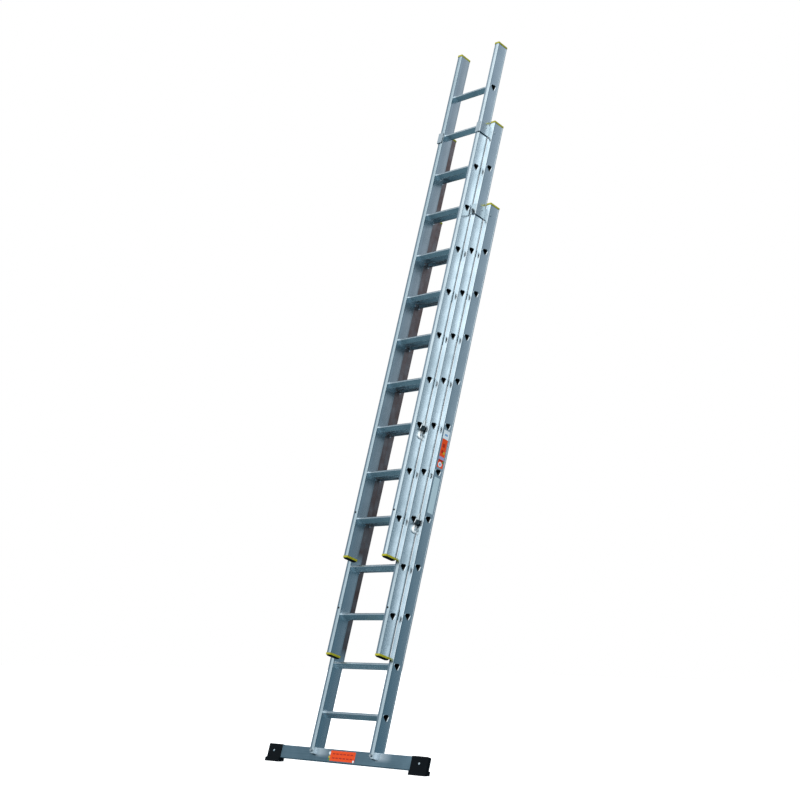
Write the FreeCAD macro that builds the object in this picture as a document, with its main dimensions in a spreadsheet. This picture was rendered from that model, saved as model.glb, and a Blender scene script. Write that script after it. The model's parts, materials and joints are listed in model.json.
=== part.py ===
"""Three-section aluminium extension ladder, standing at its working lean.

Ladder axes used for the sizes: x runs across the ladder, depth runs from the climbing side
to the wall side, and rise runs up the stiles. The document's axes are the room's: +Z is up,
the climber stands on the -Y side, and the origin is on the floor between the two feet.
"""
import FreeCAD
import Part
import Sketcher
import os
import re
from math import asin, cos, radians, sin, tan

os.makedirs("parts", exist_ok=True)
doc = FreeCAD.newDocument("ExtensionLadder")
Vector = FreeCAD.Vector

# --------------------------------------------------------------------------------------
# Driving dimensions, in millimetres and degrees
# --------------------------------------------------------------------------------------

SIZES = [
    # the set-up of the whole ladder
    ("lean", 15, "tilt of the stiles from vertical"),
    ("rung_count", 11, "rungs in each section"),
    ("rung_pitch", 250, "distance between rungs, along the stile"),
    ("raised_rungs", 2, "rungs that each sliding section stands above the one behind it"),
    ("fly_half_width", 156, "centre line to the outer web of the fly section"),
    ("side_clearance", 0.5, "free space between a hook bolt and the section behind"),
    ("nesting", 7.5, "how far each section reaches back between the stiles behind it"),
    # stiles
    ("stile_width", 30, ""),
    ("stile_depth", 71, ""),
    ("stile_wall", 2.4, ""),
    ("stile_crown", 1.5, "height of the ridge along the front flange"),
    ("stile_corner", 2, "radius of the long edges"),
    ("web_recess", 0.8, "sinking of the outer web between its two beads"),
    ("web_bead", 7, "width of each bead of the outer web"),
    # rungs
    ("first_rung", 200, "lowest rung above the end of the stile"),
    ("last_rung_drop", 278, "highest rung below the end of the stile"),
    ("rung_depth", 34, "rung axis behind the front of its stiles"),
    ("tread_half", 10, "half the distance between the two tread corners"),
    ("tread_rise", 8, "tread corners above the rung axis"),
    ("tread_radius", 8.5, "radius of the tread corners"),
    ("apex_drop", 9, "lower corner below the rung axis"),
    ("apex_radius", 7.5, "radius of the lower corner"),
    ("rung_wall", 1.8, ""),
    ("collar_width", 3.2, "how far a swaged collar stands out around the rung"),
    ("collar_thickness", 1.2, ""),
    ("rim_width", 2, "how far the flared end stands out around the rung"),
    ("rim_thickness", 1.1, ""),
    ("mouth_bevel", 2.2, "bevel of the bore at both ends"),
    # end caps
    ("cap_thickness", 4, ""),
    ("cap_skirt", 6.5, "part of the cap that reaches along the stile"),
    ("cap_wall", 1.2, ""),
    ("cap_corner", 3, ""),
    # guide brackets
    ("bracket_sheet", 3, ""),
    ("bracket_bend", 2.7, "outer radius of the bend"),
    ("bracket_height", 62, ""),
    ("bracket_top", 28, "upper edge below the end of the stile"),
    ("bracket_tail", 30, "length behind the front of the carrying stile"),
    ("bracket_clearance", 2, "free space in front of the guided stile"),
    ("bracket_end_clearance", 1, "free space beside the bracket of the guided section"),
    ("bracket_rivet_depth", 17, "rivet behind the front of the carrying stile"),
    ("bracket_rivet_drop", 68, "rivet below the end of the stile"),
    # rivets
    ("rivet_radius", 3, ""),
    ("rivet_head_radius", 6, ""),
    ("rivet_head", 2, ""),
    ("rivet_crown", 1.8, "rounding of the head"),
    ("rivet_tail_radius", 5, ""),
    ("rivet_tail", 1.5, ""),
    # rung hooks
    ("hook_rung", 3, "rung that the hook hangs below, counted from the lowest"),
    ("hook_drop", 46, "pivot below that rung"),
    ("hook_inset", 18, "pivot in front of the back of its stile"),
    ("hook_plate", 3.5, ""),
    ("hook_side_clearance", 0.5, "free space between the hook and its stile"),
    ("hook_lobe", 22, "radius of the round lobe"),
    ("hook_seat", 14, "height of the seat over the tread"),
    ("hook_seat_clearance", 0.3, ""),
    ("hook_lip", 7.5, "length of the lip behind the rung"),
    ("hook_lip_drop", 5, "lip below the tread"),
    ("hook_lip_clearance", 2, ""),
    ("hook_neck", 26, "width of the arm"),
    ("hook_root_back", 21, "back edge of the arm behind the pivot"),
    ("hook_root_front", 4.5, "front edge of the arm in front of the pivot"),
    ("hook_root_rise", 20, "start of the front edge above the pivot"),
    ("hook_corner", 6, "radius of the upper corners"),
    ("hook_tab", 15, "sideways reach of the release tab"),
    ("hook_tab_clearance", 6.5, "free space between the tab and the stile behind"),
    ("hook_tab_low", 25, "lower edge of the tab above the pivot"),
    ("hook_tab_high", 46, "upper edge of the tab above the pivot"),
    ("hook_tab_foot", 11, "width of the tab at its lower edge"),
    ("hook_tab_tip", 5, "width of the tab at its upper edge"),
    ("pivot_radius", 5, ""),
    ("pivot_clearance", 0.05, ""),
    ("pivot_head_radius", 7, "fits between the beads of the outer web"),
    ("pivot_head", 1.9, ""),
    ("pivot_play", 0.1, "free space at each side of the hook plate"),
    ("pivot_nut", 3, ""),
    # guide shoes
    ("shoe_over_rung", 13, "lower edge above the axis of the lowest rung"),
    ("shoe_height", 42, ""),
    ("shoe_width", 22, ""),
    ("shoe_clearance", 0.5, "free space between the shoe and the rungs that it passes"),
    ("shoe_toe", 2.5, "depth behind the stile at the upper edge"),
    ("shoe_heel", 14, "height of the part with the full depth"),
    ("shoe_bolt_rise", 24, "bolt above the lower edge of the shoe"),
    ("shoe_bolt_radius", 2.5, ""),
    ("shoe_bolt_head_radius", 5, ""),
    ("shoe_bolt_head", 1.6, ""),
    # stabiliser bar and its feet
    ("bar_half_length", 564, ""),
    ("bar_height", 65, ""),
    ("bar_thickness", 21, ""),
    ("bar_wall", 2.5, ""),
    ("bar_corner", 3, ""),
    ("bar_lap", 33, "length of stile that laps over the bar"),
    ("bar_depth", 25, "front of the bar behind the front of the base stiles"),
    ("bar_bolt_rise", 14, "bolt above the end of the stile"),
    ("bar_bolt_radius", 4, ""),
    ("bar_bolt_head_radius", 7.5, ""),
    ("bar_bolt_head", 5, ""),
    ("bar_bolt_point", 1, "end of the bolt past its nut"),
    ("foot_length", 100, "part of the bar that each foot covers"),
    ("foot_wall", 2.5, ""),
    ("sole", 15.2, "rubber under the lowest corner of the bar"),
    ("foot_end", 6, "thickness of the closed end"),
    ("flange_height", 20, "flared part of the foot, from the floor up"),
    ("flange_width", 5, "how far the flared part stands out"),
    ("flange_corner", 9, "radius of its outer corners"),
    ("foot_rivet", 45, "rivet from the end of the bar"),
]

sheet = doc.addObject("Spreadsheet::Sheet", "Sizes")
for row, (alias, number, note) in enumerate(SIZES, start=1):
    sheet.set("A%d" % row, alias)
    sheet.set("B%d" % row, str(number))
    sheet.set("C%d" % row, note)
    sheet.setAlias("B%d" % row, alias)
doc.recompute()

CELLS = {alias: "Sizes." + alias for alias, number, note in SIZES}

# Sizes that follow from the driving ones, as expressions in their aliases.
DERIVED = {
    "stile_length": "first_rung + rung_pitch * (rung_count - 1) + last_rung_drop",
    # Depth from the front of one section to the front of the next.
    "section_step": "stile_depth - nesting",
    # Space between the stiles of neighbouring sections, where the hooks and their bolts pass.
    "side_gap": "hook_side_clearance + hook_plate + pivot_play + pivot_head + side_clearance",
    # Front lower corner of a base stile above the floor, and the same for the bar.
    "floor_height": "sole + (bar_depth + bar_thickness) * sin(lean) + bar_drop * cos(lean)",
    "bar_drop": "bar_height - bar_lap",
    "rung_front": "tread_half * cos(lean) + tread_rise * sin(lean) + tread_radius",
    "hook_depth": "stile_depth - hook_inset",
    "hook_rise": "first_rung + (hook_rung - 1) * rung_pitch - hook_drop",
    "hook_tab_back": "hook_inset - nesting - hook_tab_clearance",
    "bracket_rivet_rise": "stile_length - bracket_rivet_drop",
    "shoe_rise": "first_rung + shoe_over_rung",
    "shoe_reach": "rung_depth - nesting - rung_front - shoe_clearance",
}
WORD = "[a-z][a-z_]*"


def written_out(text):
    """An expression with every derived size replaced by what it follows from."""
    while any(word in DERIVED for word in re.findall(WORD, text)):
        text = re.sub(
            WORD,
            lambda word: "(%s)" % DERIVED[word.group()] if word.group() in DERIVED else word.group(),
            text,
        )
    return text


def cell(text):
    """Write each alias in an expression as a reference to its cell."""
    return re.sub(WORD, lambda word: CELLS.get(word.group(), word.group()), written_out(text))


def bind(feature, **expressions):
    """Bind properties of a feature to expressions in the sheet's aliases."""
    for name, text in expressions.items():
        feature.setExpression(name, cell(text))


def size(text):
    """The present value of an expression in the sheet's aliases."""
    return float(sheet.evalExpression(written_out(text)))


# --------------------------------------------------------------------------------------
# Derived places
# --------------------------------------------------------------------------------------

SLOPE = radians(size("lean"))
TILT = FreeCAD.Rotation(Vector(1, 0, 0), -size("lean"))
TURNED_OVER = FreeCAD.Rotation(Vector(0, 1, 0), 180)
# The sections hook up so that their treads are level with each other in the room.
RAISE = size("raised_rungs * rung_pitch") - size("section_step") * tan(SLOPE)
# Front lower corner of the base stiles, with the middle of the bar over the origin.
CORNER = Vector(0, -size("bar_depth + bar_thickness / 2") * cos(SLOPE), size("floor_height"))

# Each section with the number of steps that it stands in front of the base.
SECTIONS = {"base": 0, "middle": 1, "fly": 2}
STEP_ACROSS = size("stile_width + side_gap")

# How closely an edge must match when it is chosen by its place or direction.
NEAR = 0.01


def half_width(section):
    """Centre line of the ladder to the outer web of one section."""
    return size("fly_half_width") + (SECTIONS["fly"] - SECTIONS[section]) * STEP_ACROSS


def room(section, x, depth, rise):
    """Room position of a point given from the front lower corner of one section."""
    steps = SECTIONS[section]
    return CORNER + TILT.multVec(
        Vector(x, depth - steps * size("section_step"), rise + steps * RAISE)
    )


def leaning(section, x, depth, rise, turn=FreeCAD.Rotation()):
    """Placement of a piece that leans with the stiles."""
    return FreeCAD.Placement(room(section, x, depth, rise), TILT.multiply(turn))


def upright(section, x, depth, rise):
    """Placement of a piece whose own axes are the room's."""
    return FreeCAD.Placement(room(section, x, depth, rise), FreeCAD.Rotation())


# --------------------------------------------------------------------------------------
# Modelling helpers
# --------------------------------------------------------------------------------------

nodes = []


def new_body(name, placement):
    body = doc.addObject("PartDesign::Body", name)
    body.Placement = placement
    return body


def plane_of(body, role):
    return next(item for item in body.Origin.OriginFeatures if item.Role == role)


def new_sketch(body, name, plane, offset="0", turn="0"):
    """A sketch on one of the body's planes, moved along its normal and turned in it."""
    sketch = body.newObject("Sketcher::SketchObject", body.Name + "_" + name)
    sketch.AttachmentSupport = [(plane_of(body, plane), "")]
    sketch.MapMode = "FlatFace"
    if turn != "0":
        sketch.AttachmentOffset = FreeCAD.Placement(
            Vector(), FreeCAD.Rotation(Vector(0, 0, 1), size(turn))
        )
        sketch.setExpression("AttachmentOffset.Rotation.Angle", cell(turn))
    if offset != "0":
        sketch.setExpression("AttachmentOffset.Base.z", cell(offset))
    return sketch


def hold(sketch, geometry, point, place):
    """Hold one point of a sketch at a pair of expressions."""
    for kind, text in zip(("DistanceX", "DistanceY"), place):
        rule = Sketcher.Constraint(kind, -1, 1, geometry, point, size(text))
        sketch.setExpression("Constraints[%d]" % sketch.addConstraint(rule), cell(text))


def hold_radius(sketch, geometry, text):
    rule = Sketcher.Constraint("Radius", geometry, size(text))
    sketch.setExpression("Constraints[%d]" % sketch.addConstraint(rule), cell(text))


def drawn(place):
    """The sketch point of a pair of expressions."""
    return Vector(size(place[0]), size(place[1]), 0)


def add_outline(sketch, places):
    """A closed outline of straight lines through pairs of expressions."""
    points = [drawn(place) for place in places]
    first = sketch.GeometryCount
    for here, there in zip(points, points[1:] + points[:1]):
        sketch.addGeometry(Part.LineSegment(here, there), False)
    for number, place in enumerate(places):
        before = first + (number - 1) % len(places)
        sketch.addConstraint(Sketcher.Constraint("Coincident", before, 2, first + number, 1))
        hold(sketch, first + number, 1, place)


def add_rectangle(sketch, left, right, bottom, top):
    add_outline(sketch, [(left, bottom), (right, bottom), (right, top), (left, top)])


def add_circle(sketch, place, radius):
    circle = sketch.addGeometry(Part.Circle(drawn(place), Vector(0, 0, 1), size(radius)), False)
    hold(sketch, circle, 3, place)
    hold_radius(sketch, circle, radius)


def add_rounded(sketch, corners):
    """A closed outline that runs anticlockwise around circles given as place and radius."""
    centres = [drawn(place) for place, radius in corners]
    radii = [size(radius) for place, radius in corners]
    normals = []
    for number, centre in enumerate(centres):
        following = (number + 1) % len(corners)
        along = centres[following] - centre
        lead = asin((radii[number] - radii[following]) / along.Length)
        along.normalize()
        outward = Vector(along.y, -along.x, 0)
        normals.append(outward * cos(lead) + along * sin(lead))
    first = sketch.GeometryCount
    for number, centre in enumerate(centres):
        start, end = normals[number - 1], normals[number]
        circle = Part.Circle(centre, Vector(0, 0, 1), radii[number])
        turns = circle.parameter(centre + start), circle.parameter(centre + end)
        sketch.addGeometry(Part.ArcOfCircle(circle, *turns), False)
        following = (number + 1) % len(corners)
        line = Part.LineSegment(
            centre + end * radii[number], centres[following] + end * radii[following]
        )
        sketch.addGeometry(line, False)
    for number, (place, radius) in enumerate(corners):
        arc = first + 2 * number
        following = first + (2 * number + 2) % (2 * len(corners))
        sketch.addConstraint(Sketcher.Constraint("Tangent", arc, 2, arc + 1, 1))
        sketch.addConstraint(Sketcher.Constraint("Tangent", arc + 1, 2, following, 1))
        hold(sketch, arc, 3, place)
        hold_radius(sketch, arc, radius)


def add_rung_outline(sketch, grow="0"):
    """The rounded triangle of a rung, with a flat tread on top, grown by an expression."""
    add_rounded(
        sketch,
        [
            (("0", "-apex_drop"), "apex_radius + " + grow),
            (("tread_half", "tread_rise"), "tread_radius + " + grow),
            (("-tread_half", "tread_rise"), "tread_radius + " + grow),
        ],
    )


def pad(sketch, length, symmetric=False, reverse=False):
    body = sketch.getParentGeoFeatureGroup()
    feature = body.newObject("PartDesign::Pad", sketch.Name + "_pad")
    feature.Profile = sketch
    feature.SideType = "Symmetric" if symmetric else "One side"
    feature.Reversed = reverse
    feature.setExpression("Length", cell(length))
    sketch.Visibility = False
    return feature


def pocket(sketch, one_way=False, reverse=False):
    """Cut through the whole body, to both sides of the sketch or to one."""
    body = sketch.getParentGeoFeatureGroup()
    feature = body.newObject("PartDesign::Pocket", sketch.Name + "_pocket")
    feature.Profile = sketch
    feature.Type = "ThroughAll"
    feature.SideType = "One side" if one_way else "Symmetric"
    feature.Reversed = reverse
    sketch.Visibility = False
    return feature


def round_edges(feature, radius, choose):
    """Fillet the edges of a feature for which choose(middle point, direction) holds."""
    doc.recompute()
    body = feature.getParentGeoFeatureGroup()
    names = []
    for number, edge in enumerate(feature.Shape.Edges, start=1):
        if not isinstance(edge.Curve, Part.Line):
            continue
        if choose(edge.CenterOfMass, edge.Curve.Direction):
            names.append("Edge%d" % number)
    fillet = body.newObject("PartDesign::Fillet", feature.Name + "_fillet")
    fillet.Base = (feature, names)
    fillet.setExpression("Radius", cell(radius))
    return fillet


def rises(middle, direction):
    """Edges that run along the body's Z axis."""
    return abs(direction.z) > 1 - NEAR


def crosses(middle, direction):
    """Edges that run along the body's X axis."""
    return abs(direction.x) > 1 - NEAR


def upper(middle, direction):
    """Edges that run across the upper end of a body."""
    return middle.z > 0 and not rises(middle, direction)


def revolve(sketch):
    """Turn a profile around the sketch's upright axis."""
    body = sketch.getParentGeoFeatureGroup()
    feature = body.newObject("PartDesign::Revolution", sketch.Name + "_turn")
    feature.Profile = sketch
    feature.ReferenceAxis = (sketch, ["V_Axis"])
    feature.Angle = 360
    sketch.Visibility = False
    return feature


def mirrored(piece, label):
    """The piece on the other side of the ladder."""
    copy = doc.addObject("Part::Mirroring", label)
    copy.Source = piece
    copy.Normal = Vector(1, 0, 0)
    return copy


def group(label, pieces):
    """Separate solids of one kind that share a node."""
    compound = doc.addObject("Part::Compound", label)
    compound.Links = pieces
    return compound


def keep(piece, label):
    """Make a piece one of the nodes of the assembly."""
    piece.Label = label
    nodes.append(piece)


def keep_pair(piece, name):
    """Make a right piece and its mirror image two nodes."""
    keep(mirrored(piece, name + "_left_mirror"), name + "_left")
    keep(piece, name + "_right")


def keep_both_sides(pieces, label):
    """Make right pieces and their mirror images one node."""
    copies = [mirrored(piece, piece.Name + "_mirror") for piece in pieces]
    keep(group(label + "_group", pieces + copies), label)


# --------------------------------------------------------------------------------------
# Stiles
# --------------------------------------------------------------------------------------


def stile_outline(sketch):
    """Box section with a ridged front and a recessed outer web on the +X side."""
    half, deep = "stile_width / 2", "stile_width / 2 - web_recess"
    front, back = "stile_crown + web_bead", "stile_depth - web_bead"
    add_outline(
        sketch,
        [
            ("0", "0"),
            (half, "stile_crown"),
            (half, front),
            (deep, front + " + web_recess"),
            (deep, back + " - web_recess"),
            (half, back),
            (half, "stile_depth"),
            ("-stile_width / 2", "stile_depth"),
            ("-stile_width / 2", "stile_crown"),
        ],
    )


def is_outer_corner(middle, direction):
    """Long edges at the four corners of the box section."""
    at_side = abs(abs(middle.x) - size("stile_width / 2")) < NEAR
    at_front = abs(middle.y - size("stile_crown")) < NEAR
    at_back = abs(middle.y - size("stile_depth")) < NEAR
    return rises(middle, direction) and at_side and (at_front or at_back)


def cut_rung_holes(body):
    """One hole in the shape of a rung, repeated along the stile."""
    sketch = new_sketch(body, "rung_hole", "YZ_Plane", turn="lean")
    sketch.setExpression("AttachmentOffset.Base.x", cell("rung_depth"))
    sketch.setExpression("AttachmentOffset.Base.y", cell("first_rung"))
    add_rung_outline(sketch)
    hole = pocket(sketch)
    holes = body.newObject("PartDesign::LinearPattern", body.Name + "_rung_holes")
    holes.Originals = [hole]
    holes.Direction = (plane_of(body, "Z_Axis"), [""])
    holes.setExpression("Length", cell("rung_pitch * (rung_count - 1)"))
    holes.setExpression("Occurrences", cell("rung_count"))
    body.Tip = holes


def cut_round_hole(body, name, plane, place, radius, one_way=False):
    sketch = new_sketch(body, name, plane)
    add_circle(sketch, place, radius)
    return pocket(sketch, one_way, reverse=one_way)


def stile(section):
    """Right stile of one section, with the holes that its fittings need."""
    x = half_width(section) - size("stile_width / 2")
    body = new_body(section + "_stile", leaning(section, x, 0, 0))
    outline = new_sketch(body, "outline", "XY_Plane")
    stile_outline(outline)
    round_edges(pad(outline, "stile_length"), "stile_corner", is_outer_corner)
    bore = new_sketch(body, "bore", "XY_Plane")
    inside = "stile_width / 2 - stile_wall"
    front = "stile_crown + stile_wall"
    add_rectangle(bore, "-(%s)" % inside, inside, front, "stile_depth - stile_wall")
    pocket(bore)
    cut_rung_holes(body)
    if section == "base":
        notch = new_sketch(body, "bar_notch", "YZ_Plane")
        add_rectangle(notch, "bar_depth", "bar_depth + bar_thickness", "-bar_drop", "bar_lap")
        pocket(notch)
        cut_round_hole(body, "bar_bolt", "XZ_Plane", ("0", "bar_bolt_rise"), "bar_bolt_radius")
    if section != "fly":
        rivet_place = ("bracket_rivet_depth", "bracket_rivet_rise")
        cut_round_hole(body, "bracket_rivet", "YZ_Plane", rivet_place, "rivet_radius")
    if section != "base":
        pivot = ("hook_depth", "hook_rise")
        cut_round_hole(body, "pivot", "YZ_Plane", pivot, "pivot_radius", one_way=True)
        bolt = ("0", "shoe_rise + shoe_bolt_rise")
        cut_round_hole(body, "shoe_bolt", "XZ_Plane", bolt, "shoe_bolt_radius")
    return body


for name in SECTIONS:
    keep_pair(stile(name), name + "_stile")

# --------------------------------------------------------------------------------------
# Rungs
# --------------------------------------------------------------------------------------


def bevel_mouths(bored):
    """Bevel the rims of the bore that runs through a rung."""
    doc.recompute()
    shape = bored.Shape
    end = shape.BoundBox.XMax
    walls = [face for face in shape.Faces if face.BoundBox.XLength > 2 * end - NEAR]
    names = []
    for number, edge in enumerate(shape.Edges, start=1):
        at_end = abs(edge.CenterOfMass.x) > end - NEAR
        if at_end and any(edge.isSame(rim) for wall in walls for rim in wall.Edges):
            names.append("Edge%d" % number)
    bevel = bored.getParentGeoFeatureGroup().newObject("PartDesign::Chamfer", "mouths")
    bevel.Base = (bored, names)
    bevel.setExpression("Size", cell("mouth_bevel"))


def rung(section, number):
    """A hollow rung with a swaged collar at each inner web and a flared end at each outer."""
    rise = size("first_rung + rung_pitch * %d" % number)
    place = upright(section, 0, size("rung_depth"), rise)
    body = new_body("%s_rung_%02d_body" % (section, number + 1), place)
    reach = "fly_half_width + %d * (stile_width + side_gap)" % (
        SECTIONS["fly"] - SECTIONS[section]
    )
    tube = new_sketch(body, "tube", "YZ_Plane")
    add_rung_outline(tube)
    pad(tube, "2 * (%s)" % reach, symmetric=True)
    rings = [
        ("collar", reach + " - stile_width - collar_thickness", "collar_width", "collar_thickness"),
        ("rim", reach + " - web_recess", "rim_width", "rim_thickness"),
    ]
    for ring, start, grow, thickness in rings:
        for side, sign in (("right", ""), ("left", "-")):
            sketch = new_sketch(body, ring + "_" + side, "YZ_Plane", "%s(%s)" % (sign, start))
            add_rung_outline(sketch, grow)
            pad(sketch, thickness, reverse=side == "left")
    bore = new_sketch(body, "bore", "YZ_Plane")
    add_rung_outline(bore, "-rung_wall")
    bevel_mouths(pocket(bore))
    return body


for name in SECTIONS:
    for position in range(int(size("rung_count"))):
        keep(rung(name, position), "%s_rung_%02d" % (name, position + 1))

# --------------------------------------------------------------------------------------
# End caps
# --------------------------------------------------------------------------------------


def end_cap(section, end):
    """A moulded cap over the upper or lower end of the right stile."""
    rise, turn = (size("stile_length"), FreeCAD.Rotation())
    if end == "lower":
        rise, turn = 0, TURNED_OVER
    x = half_width(section) - size("stile_width / 2")
    body = new_body(section + "_%s_cap" % end, leaning(section, x, 0, rise, turn))
    skirt = new_sketch(body, "outline", "XY_Plane", "-cap_skirt")
    outside = "stile_width / 2 + cap_wall"
    add_rectangle(skirt, "-(%s)" % outside, outside, "-cap_wall", "stile_depth + cap_wall")
    block = pad(skirt, "cap_skirt + cap_thickness")
    corners = round_edges(block, "cap_corner", rises)
    round_edges(corners, "cap_wall", upper)
    inside = new_sketch(body, "inside", "XY_Plane")
    add_rectangle(inside, "-stile_width / 2", "stile_width / 2", "0", "stile_depth")
    pocket(inside, one_way=True)
    return body


keep_both_sides([end_cap("base", "upper")], "base_end_caps")
for name in ("middle", "fly"):
    keep_both_sides([end_cap(name, "upper"), end_cap(name, "lower")], name + "_end_caps")

# --------------------------------------------------------------------------------------
# Guide brackets
# --------------------------------------------------------------------------------------


def guide_bracket(section):
    """Sheet angle on the right stile's inner web that holds the section in front."""
    x = half_width(section) - size("stile_width")
    rise = size("stile_length - bracket_top - bracket_height")
    body = new_body(section + "_bracket", leaning(section, x, 0, rise))
    outline = new_sketch(body, "outline", "XY_Plane")
    reach = "-(section_step + bracket_clearance)"
    inner = "bracket_end_clearance - side_gap - stile_width"
    add_outline(
        outline,
        [
            ("0", "bracket_tail"),
            ("-bracket_sheet", "bracket_tail"),
            ("-bracket_sheet", reach),
            (inner, reach),
            (inner, reach + " - bracket_sheet"),
            ("0", reach + " - bracket_sheet"),
        ],
    )
    sheet_metal = pad(outline, "bracket_height")
    bend = Vector(0, size(reach + " - bracket_sheet"), size("bracket_height / 2"))
    round_edges(
        sheet_metal,
        "bracket_bend",
        lambda middle, direction: middle.distanceToPoint(bend) < NEAR,
    )
    rivet_place = ("bracket_rivet_depth", "bracket_height + bracket_top - bracket_rivet_drop")
    cut_round_hole(body, "rivet", "YZ_Plane", rivet_place, "rivet_radius")
    return body


for name in ("base", "middle"):
    keep_both_sides([guide_bracket(name)], name + "_guide_brackets")

# --------------------------------------------------------------------------------------
# Rivets and bolts, each turned around its own Z axis, with the head at the upper end
# --------------------------------------------------------------------------------------

TO_SIDE = FreeCAD.Rotation(Vector(0, 1, 0), 90)
TO_FRONT = FreeCAD.Rotation(Vector(1, 0, 0), 90)


def turned(name, placement, steps):
    """A turned piece: steps lists radius and height of each shoulder, from the tail up."""
    body = new_body(name, placement)
    sketch = new_sketch(body, "profile", "XZ_Plane")
    places = [("0", steps[0][1])]
    for (radius, low), (ignored, high) in zip(steps, steps[1:]):
        places += [(radius, low), (radius, high)]
    places.append(("0", steps[-1][1]))
    add_outline(sketch, places)
    revolve(sketch)
    return body


def crown_head(body, top, radius):
    """Round the rim of a head whose top is at the height of an expression."""
    doc.recompute()
    turning = body.Tip
    rims = [
        "Edge%d" % number
        for number, edge in enumerate(turning.Shape.Edges, start=1)
        if isinstance(edge.Curve, Part.Circle) and abs(edge.CenterOfMass.z - size(top)) < NEAR
    ]
    crown = body.newObject("PartDesign::Fillet", body.Name + "_crown")
    crown.Base = (turning, rims)
    crown.setExpression("Radius", cell(radius))


def rivet(name, placement, grip):
    """Dome-headed rivet whose head sits on z = 0 and whose tail closes under the grip."""
    body = turned(
        name,
        placement,
        [
            ("rivet_tail_radius", "-(%s) - rivet_tail" % grip),
            ("rivet_radius", "-(%s)" % grip),
            ("rivet_head_radius", "0"),
            ("0", "rivet_head"),
        ],
    )
    crown_head(body, "rivet_head", "rivet_crown")
    return body


def pivot_bolt(section):
    """Shouldered bolt through the outer web, with a head that keeps the hook on."""
    x = half_width(section)
    place = leaning(section, x, size("hook_depth"), size("hook_rise"), TO_SIDE)
    steps = [
        ("pivot_head_radius", "-stile_wall - pivot_nut"),
        ("pivot_radius", "-stile_wall"),
        ("pivot_head_radius", "-web_recess"),
        ("pivot_radius", "hook_side_clearance - pivot_play"),
        ("pivot_head_radius", "hook_side_clearance + hook_plate + pivot_play"),
        ("0", "hook_side_clearance + hook_plate + pivot_play + pivot_head"),
    ]
    return turned(section + "_pivot_bolt", place, steps)


def shoe_bolt(section):
    """Long screw from the front flange to the guide shoe."""
    x = half_width(section) - size("stile_width / 2")
    place = leaning(section, x, 0, size("shoe_rise + shoe_bolt_rise"), TO_FRONT)
    steps = [
        ("shoe_bolt_radius", "-stile_depth - shoe_toe"),
        ("shoe_bolt_head_radius", "0"),
        ("0", "shoe_bolt_head"),
    ]
    return turned(section + "_shoe_bolt", place, steps)


def bar_bolt():
    """Bolt through the lower end of the stile and the bar."""
    x = half_width("base") - size("stile_width / 2")
    place = leaning("base", x, 0, size("bar_bolt_rise"), TO_FRONT)
    steps = [
        ("bar_bolt_radius", "-stile_depth - bar_bolt_head - bar_bolt_point"),
        ("bar_bolt_head_radius", "0"),
        ("0", "bar_bolt_head"),
    ]
    return turned("bar_bolt", place, steps)


def bar_nut():
    """Hexagon nut behind the stile."""
    x = half_width("base") - size("stile_width / 2")
    hexagon = doc.addObject("Part::Prism", "nut_hexagon")
    hexagon.Polygon = 6
    bind(hexagon, Circumradius="bar_bolt_head_radius", Height="bar_bolt_head")
    hole = doc.addObject("Part::Cylinder", "nut_hole")
    bind(hole, Radius="bar_bolt_radius", Height="bar_bolt_head")
    nut = doc.addObject("Part::Cut", "bar_nut")
    nut.Base = hexagon
    nut.Tool = hole
    depth = size("stile_depth + bar_bolt_head")
    nut.Placement = leaning("base", x, depth, size("bar_bolt_rise"), TO_FRONT)
    return nut


for name in ("base", "middle"):
    place = leaning(
        name,
        half_width(name) - size("web_recess"),
        size("bracket_rivet_depth"),
        size("bracket_rivet_rise"),
        TO_SIDE,
    )
    rivets = [rivet(name + "_bracket_rivet", place, "stile_width - web_recess + bracket_sheet")]
    if name == "base":
        place = leaning(
            "base",
            size("bar_half_length - foot_rivet"),
            size("bar_depth - foot_wall"),
            size("bar_lap - bar_height / 2"),
            TO_FRONT,
        )
        rivets.append(rivet("foot_rivet", place, "bar_thickness + 2 * foot_wall"))
    keep_both_sides(rivets, name + "_rivets")

for name in ("middle", "fly"):
    keep_both_sides([pivot_bolt(name)], name + "_hook_bolts")
    keep_both_sides([shoe_bolt(name)], name + "_shoe_bolts")
keep_both_sides([bar_bolt()], "bar_bolts")
keep_both_sides([bar_nut()], "bar_nuts")

# --------------------------------------------------------------------------------------
# Rung hooks, drawn in the room's axes around their pivot so that the seat is level
# --------------------------------------------------------------------------------------

# The rung that the hook rests on, seen from the pivot.
BEHIND = "(section_step + rung_depth - hook_depth)"
ABOVE = "(hook_drop + section_step * tan(lean))"
RUNG_BACK = "(%s * cos(lean) + %s * sin(lean))" % (BEHIND, ABOVE)
RUNG_UP = "(%s * cos(lean) - %s * sin(lean))" % (ABOVE, BEHIND)
TREAD = "(%s + tread_rise + tread_radius)" % RUNG_UP


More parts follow.
